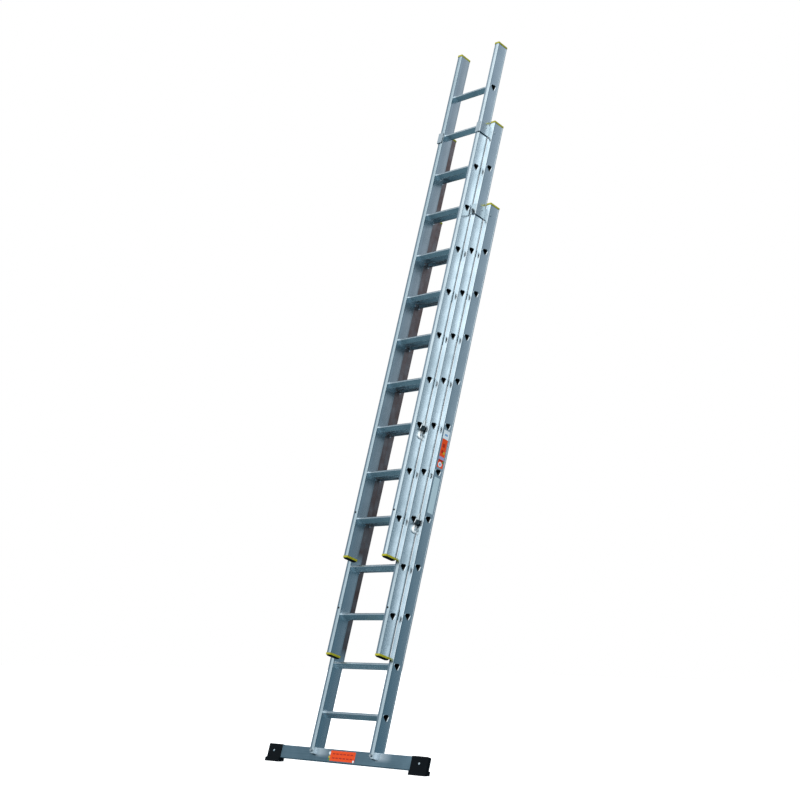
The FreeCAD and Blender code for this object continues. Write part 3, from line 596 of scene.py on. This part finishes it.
def cast_finish(section, finishes):
    """Sand-cast hook whose arm and release tab are coloured dark."""
    material = new_material(section + "_hook_finish")
    tree = material.node_tree
    place = own_coordinates(tree)
    stains = noise(tree, place, CAST_STAINS, detail=4.0, roughness=0.6)
    light = spread(tree, stains, 0.30, 0.55)
    colour = mix(tree, light, opaque(finishes.plate), opaque(finishes.casting))
    hook = section + "_hook_right"
    pivot = next(joint["pos_m"] for joint in frame["joints"] if joint["child"] == hook)
    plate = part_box(section + "_hook_right")[0][0] + finishes.hook_plate
    across = math_node(tree, "ABSOLUTE", parts_of(tree, place)[0])
    reach = squared_reach(tree, place, pivot[1], pivot[2])
    # The arm and the tab take the dark colour near the pivot.
    arm = math_node(tree, "GREATER_THAN", reach, finishes.lobe**2)
    tab = math_node(tree, "GREATER_THAN", across, plate)
    darkened = math_node(tree, "LESS_THAN", reach, finishes.darkened**2)
    darkened = product(tree, math_node(tree, "MAXIMUM", tab, arm), darkened)
    colour = mix(tree, darkened, colour, opaque(finishes.hook_dark))

    # The lobe slopes to the front and up, so its crest lies behind and under the pivot.
    crest = (pivot[1] + finishes.lobe / 2, pivot[2] - finishes.lobe * 0.8)
    dome = squared_reach(tree, place, *crest)
    dome = math_node(tree, "MINIMUM", dome, (2 * finishes.lobe) ** 2)
    grains = noise(tree, place, CAST_GRAINS, detail=3.0, roughness=0.6)
    normal = bump(tree, grains, GRAIN_DEPTH, strength=0.15)
    normal = bump(tree, product(tree, dome, -1.0), finishes.dome, 1.0, normal)
    roughness = spread(tree, stains, 0.3, 0.7, *CAST_ROUGHNESS)
    return metal(material, colour, roughness, normal, spread(tree, darkened, 0.0, 1.0, 0.9, 0.0))


def steel_finish(finishes):
    """Zinc plating with a fine crystal pattern."""
    material = new_material("zinc_finish")
    tree = material.node_tree
    place = own_coordinates(tree)
    inputs = {"Vector": place, "Scale": ZINC_CRYSTALS}
    crystals = add_node(tree, "ShaderNodeTexVoronoi", inputs).outputs["Distance"]
    stains = noise(tree, place, ZINC_STAINS, detail=4.0, roughness=0.6)
    light = spread(tree, stains, 0.35, 0.65)
    colour = mix(tree, light, opaque(finishes.steel), opaque(finishes.plate))
    normal = bump(tree, stains, GRAIN_DEPTH, strength=0.25)
    roughness = spread(tree, crystals, 0.0, 0.6, *ZINC_ROUGHNESS)
    return metal(material, colour, roughness, normal)


# --------------------------------------------------------------------------------------
# Plastic and rubber
# --------------------------------------------------------------------------------------

# Features of each pattern in a metre.
SCUFFS, SCRATCHES, SCREEN, RIPPLES = 60.0, 55.0, 1500.0, 40.0
FLOW = (8.0, 8.0, 30.0)
FINE_GRAIN, COARSE_GRAIN, RIPPLE_DEPTH = 0.3 * MILLIMETRE, 0.6 * MILLIMETRE, 0.8 * MILLIMETRE
# Printed film glows a little, so that it stays bright in the shade.
FILM_GLOW, FILM_ROUGHNESS, STICKER_ROUGHNESS = 0.25, 0.34, 0.28


def moulded_finish(name, colour, roughness, grains, depth, shine=0.35):
    """Moulded plastic or rubber: eroded grain, slight flow marks and scuffed patches."""
    material = new_material(name)
    tree = material.node_tree
    place = own_coordinates(tree)
    grain = noise(tree, place, grains, detail=3.0, roughness=0.6)
    flow = noise(tree, scaled(tree, place, FLOW), 1.0, detail=3.0)
    scuffs = noise(tree, place, SCUFFS, detail=5.0, roughness=0.7)
    deep, faded = toned(colour, 0.78), toned(colour, 1.35, added=0.004)
    shade = mix(tree, spread(tree, flow, 0.35, 0.65), deep, opaque(colour))
    shade = mix(tree, spread(tree, scuffs, 0.55, 0.75, end=0.35), shade, faded)
    inputs = {
        "Base Color": shade,
        "Roughness": spread(tree, flow, 0.3, 0.7, roughness - 0.06, roughness + 0.08),
        "Normal": bump(tree, grain, depth, strength=0.35),
        "Specular IOR Level": shine,
    }
    return surface(material, inputs)


def print_finish(name, colour, roughness=FILM_ROUGHNESS):
    """Printed vinyl film with a faint screen and light scratches."""
    material = new_material(name)
    tree = material.node_tree
    place = own_coordinates(tree)
    screen = noise(tree, place, SCREEN, detail=1.0)
    wear = noise(tree, place, SCRATCHES, detail=5.0, roughness=0.7)
    wear = spread(tree, wear, 0.58, 0.78, end=0.4)
    deep, worn = toned(colour, 0.86), toned(colour, 0.8, added=0.10)
    shade = mix(tree, spread(tree, screen, 0.35, 0.65), deep, opaque(colour))
    shade = mix(tree, wear, shade, worn)
    ripples = noise(tree, place, RIPPLES)
    inputs = {
        "Base Color": shade,
        "Roughness": spread(tree, wear, 0.0, 0.4, roughness, roughness + 0.2),
        "Normal": bump(tree, ripples, RIPPLE_DEPTH, strength=0.1),
        "Specular IOR Level": 0.3,
        "Emission Color": shade,
        "Emission Strength": FILM_GLOW,
    }
    return surface(material, inputs)


def dress(nodes, material):
    """Give CAD nodes one material."""
    for name in nodes:
        node = frame["nodes"][name]
        if not node.material_slots:
            node.data.materials.append(None)
        for slot in node.material_slots:
            slot.link = "OBJECT"
            slot.material = material


# --------------------------------------------------------------------------------------
# Pieces
# --------------------------------------------------------------------------------------


def mesh_of(shape, name):
    """Turn a finished shape into a mesh."""
    mesh = bpy.data.meshes.new(name)
    shape.to_mesh(mesh)
    shape.free()
    return mesh


def new_piece(name, mesh, body, materials):
    """A finished mesh in the room's axes that moves with a body of the ladder."""
    piece = bpy.data.objects.new(name, mesh)
    bpy.context.scene.collection.objects.link(piece)
    for material in materials:
        mesh.materials.append(material)
    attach(piece, body)
    return piece


def rounded_outline(width, height, radius, steps=5):
    """Points of a rounded rectangle around the origin, anticlockwise."""
    radius = min(radius, width / 2, height / 2)
    points = []
    for corner, (across, up) in enumerate(((1, 1), (-1, 1), (-1, -1), (1, -1))):
        centre = Vector((across * (width / 2 - radius), up * (height / 2 - radius)))
        for step in range(steps + 1):
            angle = pi / 2 * (corner + step / steps)
            points.append(centre + radius * Vector((cos(angle), sin(angle))))
    return points


def add_band(shape, lower, upper):
    """Faces between two rings of vertices."""
    corners = zip(lower, lower[1:] + lower[:1], upper[1:] + upper[:1], upper)
    return [shape.faces.new(four) for four in corners]


def add_slab(shape, outline, low, high, finish):
    """A flat slab with one finish, between two heights over the label's plane."""
    bottom = [shape.verts.new((p.x, p.y, low)) for p in outline]
    top = [shape.verts.new((p.x, p.y, high)) for p in outline]
    faces = [shape.faces.new(top), shape.faces.new(list(reversed(bottom)))]
    for face in faces + add_band(shape, bottom, top):
        face.material_index = finish


def label_mesh(name, patches, film, place):
    """A label of layered patches: finish, centre, size, corner radius and layer."""
    shape = bmesh.new()
    for finish, across, up, width, height, radius, layer in patches:
        centre = Vector((across, up))
        outline = [centre + point for point in rounded_outline(width, height, radius)]
        add_slab(shape, outline, film * layer, film * (layer + 1), finish)
    shape.transform(place)
    return mesh_of(shape, name)


def placed(origin, right, up):
    """The matrix that lays a label's plane at an origin, with its own right and up."""
    normal = right.cross(up)
    turn = Matrix((right, up, normal)).transposed().to_4x4()
    return Matrix.Translation(origin) @ turn


# --------------------------------------------------------------------------------------
# Operators
# --------------------------------------------------------------------------------------


class LADDER_OT_finish_metal(bpy.types.Operator):
    """Finish the stiles, rungs, bar, brackets, hooks and fasteners"""

    bl_idname = "ladder.finish_metal"
    bl_label = "Finish metal"

    def execute(self, context):
        finishes = context.scene.ladder_finishes
        for section in SECTIONS:
            stiles = [section + "_stile_" + side for side in SIDES]
            dress(stiles, stile_finish(section, finishes))
            dress(rungs_of(section), rung_finish(section, finishes))
        for section in SLIDING:
            hooks = [section + "_hook_" + side for side in SIDES]
            dress(hooks, cast_finish(section, finishes))
        dress(["stabiliser_bar"], bar_finish(finishes))
        plates = [section + "_guide_brackets" for section in HOLDING]
        rivets = [section + "_rivets" for section in HOLDING]
        dress(plates + rivets, plate_finish(finishes))
        bolts = [section + "_hook_bolts" for section in SLIDING]
        dress([*bolts, "bar_bolts", "bar_nuts"], steel_finish(finishes))
        return {"FINISHED"}


class LADDER_OT_finish_mouldings(bpy.types.Operator):
    """Finish the end caps, guide shoes and rubber feet"""

    bl_idname = "ladder.finish_mouldings"
    bl_label = "Finish mouldings"

    def execute(self, context):
        finishes = context.scene.ladder_finishes
        black, rubber = finishes.black, finishes.rubber
        caps = moulded_finish("cap_finish", finishes.cap, 0.42, 420.0, FINE_GRAIN)
        dress([section + "_end_caps" for section in SECTIONS], caps)
        shoes = moulded_finish("shoe_finish", black, 0.45, 500.0, FINE_GRAIN, shine=0.3)
        for section in SLIDING:
            dress([section + "_guide_shoes", section + "_shoe_bolts"], shoes)
        feet = moulded_finish("foot_finish", rubber, 0.6, 300.0, COARSE_GRAIN, shine=0.12)
        dress(["rubber_feet"], feet)
        return {"FINISHED"}


def tread_tree():
    """Geometry nodes: parallel round ribs at each point of the input."""
    tree = bpy.data.node_groups.new("tread_ribs", "GeometryNodeTree")
    sockets = (
        ("Geometry", "NodeSocketGeometry"),
        ("Length", "NodeSocketFloat"),
        ("Ribs", "NodeSocketInt"),
        ("Spacing", "NodeSocketFloat"),
        ("Radius", "NodeSocketFloat"),
        ("Material", "NodeSocketMaterial"),
    )
    for name, kind in sockets:
        tree.interface.new_socket(name, in_out="INPUT", socket_type=kind)
    tree.interface.new_socket("Geometry", in_out="OUTPUT", socket_type="NodeSocketGeometry")
    given = add_node(tree, "NodeGroupInput").outputs
    half = product(tree, given["Length"], 0.5)
    start = add_node(tree, "ShaderNodeCombineXYZ", {"X": product(tree, half, -1.0)}).outputs[0]
    end = add_node(tree, "ShaderNodeCombineXYZ", {"X": half}).outputs[0]
    line = add_node(tree, "GeometryNodeCurvePrimitiveLine", {"Start": start, "End": end})
    inputs = {"Resolution": 8, "Radius": given["Radius"]}
    profile = add_node(tree, "GeometryNodeCurvePrimitiveCircle", inputs)
    inputs = {"Curve": line.outputs[0], "Profile Curve": profile.outputs[0], "Fill Caps": True}
    rib = add_node(tree, "GeometryNodeCurveToMesh", inputs).outputs[0]
    gaps = math_node(tree, "SUBTRACT", given["Ribs"], 1.0)
    reach = product(tree, gaps, given["Spacing"])
    first = product(tree, reach, -0.5)
    first = add_node(tree, "ShaderNodeCombineXYZ", {"Y": first}).outputs[0]
    spacing = add_node(tree, "ShaderNodeCombineXYZ", {"Y": given["Spacing"]}).outputs[0]
    inputs = {"Count": given["Ribs"], "Start Location": first, "Offset": spacing}
    row = add_node(tree, "GeometryNodeMeshLine", inputs).outputs[0]
    inputs = {"Points": row, "Instance": rib}
    ribs = add_node(tree, "GeometryNodeInstanceOnPoints", inputs).outputs[0]
    inputs = {"Points": given["Geometry"], "Instance": ribs}
    treads = add_node(tree, "GeometryNodeInstanceOnPoints", inputs).outputs[0]
    solid = add_node(tree, "GeometryNodeRealizeInstances", {"Geometry": treads}).outputs[0]
    inputs = {"Geometry": solid, "Material": given["Material"]}
    coated = add_node(tree, "GeometryNodeSetMaterial", inputs).outputs[0]
    output = add_node(tree, "NodeGroupOutput")
    tree.links.new(coated, output.inputs["Geometry"])
    return tree


def grown(tree, points, settings):
    """The plain mesh that a geometry node tree makes from a set of points."""
    mesh = bpy.data.meshes.new(tree.name)
    mesh.from_pydata(points, [], [])
    seed = bpy.data.objects.new(tree.name, mesh)
    bpy.context.scene.collection.objects.link(seed)
    modifier = seed.modifiers.new(tree.name, "NODES")
    modifier.node_group = tree
    for item in tree.interface.items_tree:
        if item.in_out == "INPUT" and item.name in settings:
            modifier[item.identifier] = settings[item.name]
    graph = bpy.context.evaluated_depsgraph_get()
    made = bpy.data.meshes.new_from_object(seed.evaluated_get(graph))
    bpy.data.objects.remove(seed)
    made.materials.clear()
    return made


class LADDER_OT_add_treads(bpy.types.Operator):
    """Add the ribs that keep a shoe from slipping off the rungs"""

    bl_idname = "ladder.add_treads"
    bl_label = "Add tread ribs"

    def execute(self, context):
        treads = context.scene.ladder_treads
        tree = tread_tree()
        for section in SECTIONS:
            inner_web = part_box(section + "_stile_right")[0][0]
            names = rungs_of(section)
            finish = frame["nodes"][names[0]].material_slots[0].material
            points = []
            for name in names:
                centre = axis_of(name)
                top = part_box(name)[1][2] - treads.drop
                points.append((centre.x, centre.y, top - treads.sink))
            settings = {
                "Length": 2 * (inner_web - treads.margin),
                "Ribs": treads.ribs,
                "Spacing": treads.spacing,
                "Radius": treads.radius,
                "Material": finish,
            }
            ribs = grown(tree, points, settings)
            new_piece(section + "_tread_ribs", ribs, section, [finish])
        return {"FINISHED"}


class LADDER_OT_add_studs(bpy.types.Operator):
    """Add the rivet heads on the plates of the guide brackets"""

    bl_idname = "ladder.add_studs"
    bl_label = "Add bracket studs"

    def execute(self, context):
        studs = context.scene.ladder_studs
        steel = frame["nodes"]["bar_bolts"].material_slots[0].material
        flat = Matrix.Diagonal((studs.height, 1, 1, 1))
        for section in HOLDING:
            low, high = leaning_box(section + "_guide_brackets")
            front = leaning_box(section + "_stile_right")[0].y
            inner_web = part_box(section + "_stile_right")[0][0]
            depth = front + (low.y - front) * studs.reach
            rise = low.z + (high.z - low.z) * studs.rise
            shape = bmesh.new()
            for side in (-1, 1):
                place = Matrix.Translation((side * inner_web, depth, rise)) @ flat
                bmesh.ops.create_uvsphere(
                    shape, u_segments=20, v_segments=12, radius=studs.radius, matrix=place
                )
            shape.transform(TILT)
            heads = mesh_of(shape, section + "_bracket_studs")
            new_piece(section + "_bracket_studs", heads, section, [steel])
        return {"FINISHED"}


# Colours of the labels in the order of their finishes.
INKS = ("orange", "deep_orange", "white", "violet", "blue", "green", "yellow", "silver")
ORANGE, DEEP, WHITE, VIOLET, BLUE, GREEN, YELLOW, SILVER = range(len(INKS))
# Numbers of the base rungs under which the label and the sticker of the stile begin.
LABEL_RUNG, STICKER_RUNG = 7, 6


def bar_patches(width, height):
    """A long patch with two rows of dashes, three spots over its left end and one at its right."""
    mm = MILLIMETRE
    left, right = -width / 2, width / 2
    patches = [
        (ORANGE, 0, 0, width, height, 4 * mm, 0),
        (WHITE, left - 5 * mm, height * 0.25, 15 * mm, 15 * mm, 7.5 * mm, 0),
        (YELLOW, left - 4 * mm, -height * 0.12, 13 * mm, 11 * mm, 4 * mm, 0),
        (GREEN, left - 4 * mm, -height * 0.36, 13 * mm, 11 * mm, 4 * mm, 0),
        (WHITE, right - 8 * mm, -height / 2 + 5 * mm, 12 * mm, 12 * mm, 6 * mm, 1),
    ]
    dash, thin = width / 9, height * 0.12
    for column in range(6):
        across = (column - 2.5) * width / 7
        for row in (-1, 1):
            patches.append((DEEP, across, row * height * 0.2, dash, thin, 2 * mm, 1))
    return patches


def stile_patches(wide):
    """White, orange, violet and orange patches with marks, measured down from a rung."""
    mm = MILLIMETRE
    return [
        (WHITE, 0, -45 * mm, wide, 46 * mm, 2 * mm, 0),
        (BLUE, 0, -46 * mm, wide * 0.5, 10 * mm, 2 * mm, 1),
        (ORANGE, 0, -116 * mm, wide * 0.88, 94 * mm, 2 * mm, 0),
        (DEEP, -wide * 0.05, -104 * mm, wide * 0.4, 20 * mm, 2 * mm, 1),
        (DEEP, -wide * 0.1, -136 * mm, wide * 0.35, 16 * mm, 2 * mm, 1),
        (YELLOW, wide * 0.2, -142 * mm, 13 * mm, 16 * mm, 5 * mm, 1),
        (VIOLET, 0, -171 * mm, wide * 0.85, 15 * mm, 2 * mm, 0),
        (DEEP, 0, -184 * mm, wide * 0.88, 10 * mm, 1 * mm, 0),
        (ORANGE, 0, -206 * mm, wide * 0.95, 33 * mm, 2 * mm, 0),
        (WHITE, -wide * 0.05, -205 * mm, 26 * mm, 26 * mm, 13 * mm, 1),
        (BLUE, -wide * 0.05, -205 * mm, 13 * mm, 13 * mm, 6.5 * mm, 2),
        (GREEN, wide * 0.38, -190 * mm, 9 * mm, 13 * mm, 4 * mm, 1),
    ]


def sticker_patches(wide, length):
    """One pale patch, measured down from a rung."""
    gap, radius = 26 * MILLIMETRE, 3 * MILLIMETRE
    return [(SILVER, 0, -gap - length / 2, wide * 0.9, length, radius, 0)]


class LADDER_OT_add_labels(bpy.types.Operator):
    """Add the plain coloured labels on the bar and the right base stile"""

    bl_idname = "ladder.add_labels"
    bl_label = "Add labels"

    def execute(self, context):
        labels = context.scene.ladder_labels
        finishes = [print_finish("label_" + ink, getattr(labels, ink)) for ink in INKS[:SILVER]]
        finishes.append(print_finish("label_silver", labels.silver, STICKER_ROUGHNESS))
        across, back, up = (TILT @ axis for axis in Matrix.Identity(3))

        low, high = leaning_box("stabiliser_bar")
        origin = TILT @ Vector((-7 * MILLIMETRE, low.y, (low.z + high.z) / 2))
        patches = bar_patches(labels.bar_width, labels.bar_height)
        mesh = label_mesh("bar_label", patches, labels.film, placed(origin, across, up))
        new_piece("bar_label", mesh, "base", finishes)

        # The outer web lies deeper than the flanges that frame it.
        low, high = leaning_box("base_stile_right")
        middle = (low.y + high.y) / 2
        points = leaning_vertices("base_stile_right")
        on_web = abs(points[:, 1] - middle) < 0.2 * (high.y - low.y)
        web = points[on_web][:, 0].max()
        width = labels.stile_width
        for name, rung, patches in (
            ("stile_label", LABEL_RUNG, stile_patches(width)),
            ("stile_sticker", STICKER_RUNG, sticker_patches(width, labels.sticker_length)),
        ):
            rise = (TILT.inverted() @ axis_of(rung_name("base", rung))).z
            place = placed(TILT @ Vector((web, middle - MILLIMETRE, rise)), back, up)
            mesh = label_mesh(name, patches, labels.film, place)
            new_piece(name, mesh, "base", finishes)
        return {"FINISHED"}


DOME_STEPS = 5


def add_dome(shape, centre, size, top, soles):
    """A dome that hangs from a flat top and rounds off to a smaller flat foot."""
    above = None
    for step in range(DOME_STEPS + 1):
        angle = pi / 2 * step / DOME_STEPS
        rim = 2 * (soles.inset + soles.thickness * (1 - cos(angle)))
        outline = rounded_outline(size.x - rim, size.y - rim, 4 * MILLIMETRE)
        level = top - soles.thickness * sin(angle)
        ring = [shape.verts.new((centre.x + p.x, centre.y + p.y, level)) for p in outline]
        if above:
            add_band(shape, ring, above)
        else:
            shape.faces.new(ring)
        above = ring
    shape.faces.new(list(reversed(above)))


class LADDER_OT_add_soles(bpy.types.Operator):
    """Add the black domed soles under the lower end caps"""

    bl_idname = "ladder.add_soles"
    bl_label = "Add soles"

    def execute(self, context):
        soles = context.scene.ladder_soles
        black = context.scene.ladder_finishes.black
        # The soles take the black of the guide shoes.
        rubber = moulded_finish("sole_finish", black, 0.7, 260.0, COARSE_GRAIN, shine=0.15)
        for section in SLIDING:
            shape = bmesh.new()
            top = leaning_box(section + "_end_caps")[0].z
            for side in SIDES:
                low, high = leaning_box(section + "_stile_" + side)
                add_dome(shape, (low + high) / 2, high - low, top, soles)
            shape.transform(TILT)
            bmesh.ops.recalc_face_normals(shape, faces=shape.faces)
            domes = mesh_of(shape, section + "_cap_soles")
            new_piece(section + "_cap_soles", domes, section, [rubber])
        return {"FINISHED"}


# The floor is a mottled pale grey that glows, so it stays as pale as the backdrop.
FLOOR_SHADES = (0.80, 0.80, 0.80, 1.0), (0.84, 0.84, 0.84, 1.0)
FLOOR_GLOW = 0.86
# Colours of the surroundings, from straight below (0) over the horizon (0.5) to straight above (1).
SURROUNDINGS = (
    (0.0, (0.10, 0.17, 0.21)),
    (0.25, (0.14, 0.24, 0.29)),
    (0.465, (0.05, 0.12, 0.17)),
    (0.58, (0.23, 0.30, 0.35)),
    (0.675, (0.31, 0.38, 0.45)),
    (0.85, (0.45, 0.52, 0.58)),
    (1.0, (0.72, 0.78, 0.82)),
)
KEY_COLOUR = (1.04, 1.02, 0.97)
# Turns to the right of the climber's side, in degrees, over which the key light's two ends fade.
KEY_LEFT, KEY_RIGHT = (-54, -40), (60, 140)
# Heights where the key light begins and is full: straight ahead, and at KEY_TURN to the right.
KEY_BEGINS, KEY_FULL = (0.02, 0.12), (0.46, 0.52)
KEY_TURN = 45


class LADDER_OT_set_stage(bpy.types.Operator):
    """Set the floor, the light around the ladder and the camera"""

    bl_idname = "ladder.set_stage"
    bl_label = "Set the stage"

    def execute(self, context):
        studio = context.scene.ladder_studio
        self.lay_floor(context, studio)
        self.light(context, studio)
        self.place_camera(context, studio)
        context.scene.view_settings.view_transform = "Standard"
        return {"FINISHED"}

    def lay_floor(self, context, studio):
        shape = bmesh.new()
        bmesh.ops.create_grid(shape, x_segments=8, y_segments=8, size=studio.floor_size / 2)
        shape.transform(Matrix.Translation((0, 0, -0.2 * MILLIMETRE)))
        floor = bpy.data.objects.new("floor", mesh_of(shape, "floor"))
        context.scene.collection.objects.link(floor)
        material = new_material("floor_paint")
        tree = material.node_tree
        mottle = noise(tree, own_coordinates(tree), 3.0, detail=3.0)
        inputs = {
            "Base Color": mix(tree, mottle, *FLOOR_SHADES),
            "Roughness": 0.9,
            "Emission Color": (1.0, 1.0, 1.0, 1.0),
            "Emission Strength": FLOOR_GLOW,
        }
        floor.data.materials.append(surface(material, inputs))
        floor.visible_glossy = False
        floor.visible_diffuse = False
        floor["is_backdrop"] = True

    def light(self, context, studio):
        """A plain backdrop, and a studio around it with a large soft key light in front."""
        world = bpy.data.worlds.new("studio")
        context.scene.world = world
        world.use_nodes = True
        tree = world.node_tree
        tree.nodes.clear()
        direction = add_node(tree, "ShaderNodeTexCoord").outputs["Generated"]
        x, y, height = parts_of(tree, direction)
        ramp = add_node(tree, "ShaderNodeValToRGB", {"Fac": spread(tree, height, -1.0, 1.0)})
        elements = ramp.color_ramp.elements
        for element, (position, colour) in zip(elements, (SURROUNDINGS[0], SURROUNDINGS[-1])):
            element.position, element.color = position, opaque(colour)
        for position, colour in SURROUNDINGS[1:-1]:
            elements.new(position).color = opaque(colour)

        turn = math_node(tree, "ARCTAN2", x, product(tree, y, -1.0))
        left = spread(tree, turn, *map(radians, KEY_LEFT))
        right = spread(tree, turn, *map(radians, KEY_RIGHT), 1.0, 0.0)
        begins = spread(tree, turn, 0.0, radians(KEY_TURN), *KEY_BEGINS)
        full = spread(tree, turn, 0.0, radians(KEY_TURN), *KEY_FULL)
        key = product(tree, left, right, spread(tree, height, begins, full), studio.key)
        light = vector_math(
            tree, "ADD", ramp.outputs["Color"], lengthened(tree, KEY_COLOUR, key)
        )
        inputs = {"Color": opaque(studio.background)}
        backdrop = add_node(tree, "ShaderNodeBackground", inputs)
        around = add_node(tree, "ShaderNodeBackground", {"Color": light})
        seen = add_node(tree, "ShaderNodeLightPath").outputs["Is Camera Ray"]
        inputs = {0: seen, 1: around.outputs[0], 2: backdrop.outputs[0]}
        both = add_node(tree, "ShaderNodeMixShader", inputs)
        output = add_node(tree, "ShaderNodeOutputWorld")
        tree.links.new(both.outputs[0], output.inputs["Surface"])

    def place_camera(self, context, studio):
        low, high = (Vector(corner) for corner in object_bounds())
        target = (low + high) / 2 + Vector(studio.aim)
        azimuth, elevation, roll = studio.azimuth, studio.elevation, studio.roll
        right = Vector((cos(azimuth), sin(azimuth), 0))
        level = Vector((sin(azimuth), -cos(azimuth), 0))
        back = level * cos(elevation) + Vector((0, 0, sin(elevation)))
        up = back.cross(right)
        right, up = right * cos(roll) + up * sin(roll), up * cos(roll) - right * sin(roll)
        data = bpy.data.cameras.new("camera")
        data.lens = studio.lens
        data.clip_end = 200
        camera = bpy.data.objects.new("camera", data)
        context.scene.collection.objects.link(camera)
        turn = Matrix((right, up, back)).transposed().to_4x4()
        camera.matrix_world = Matrix.Translation(target + back * studio.distance) @ turn
        context.scene.camera = camera


class LADDER_PT_looks(bpy.types.Panel):
    """Lists the steps that dress the ladder"""

    bl_idname = "LADDER_PT_looks"
    bl_label = "Ladder"
    bl_space_type = "VIEW_3D"
    bl_region_type = "UI"
    bl_category = "Ladder"

    def draw(self, context):
        for step in STEPS:
            self.layout.operator(step.bl_idname)


STEPS = (
    LADDER_OT_finish_metal,
    LADDER_OT_finish_mouldings,
    LADDER_OT_add_treads,
    LADDER_OT_add_soles,
    LADDER_OT_add_studs,
    LADDER_OT_add_labels,
    LADDER_OT_set_stage,
)
SETTINGS = {
    "ladder_finishes": LadderFinishes,
    "ladder_treads": LadderTreads,
    "ladder_soles": LadderSoles,
    "ladder_studs": LadderStuds,
    "ladder_labels": LadderLabels,
    "ladder_studio": LadderStudio,
}


def register():
    for group in (*SETTINGS.values(), *STEPS, LADDER_PT_looks):
        bpy.utils.register_class(group)
    for name, group in SETTINGS.items():
        setattr(bpy.types.Scene, name, PointerProperty(type=group))


def unregister():
    for name in SETTINGS:
        delattr(bpy.types.Scene, name)
    for group in reversed((*SETTINGS.values(), *STEPS, LADDER_PT_looks)):
        bpy.utils.unregister_class(group)


def main():
    register()
    for step in STEPS:
        prefix, name = step.bl_idname.split(".")
        getattr(getattr(bpy.ops, prefix), name)()


if __name__ == "__main__":
    main()
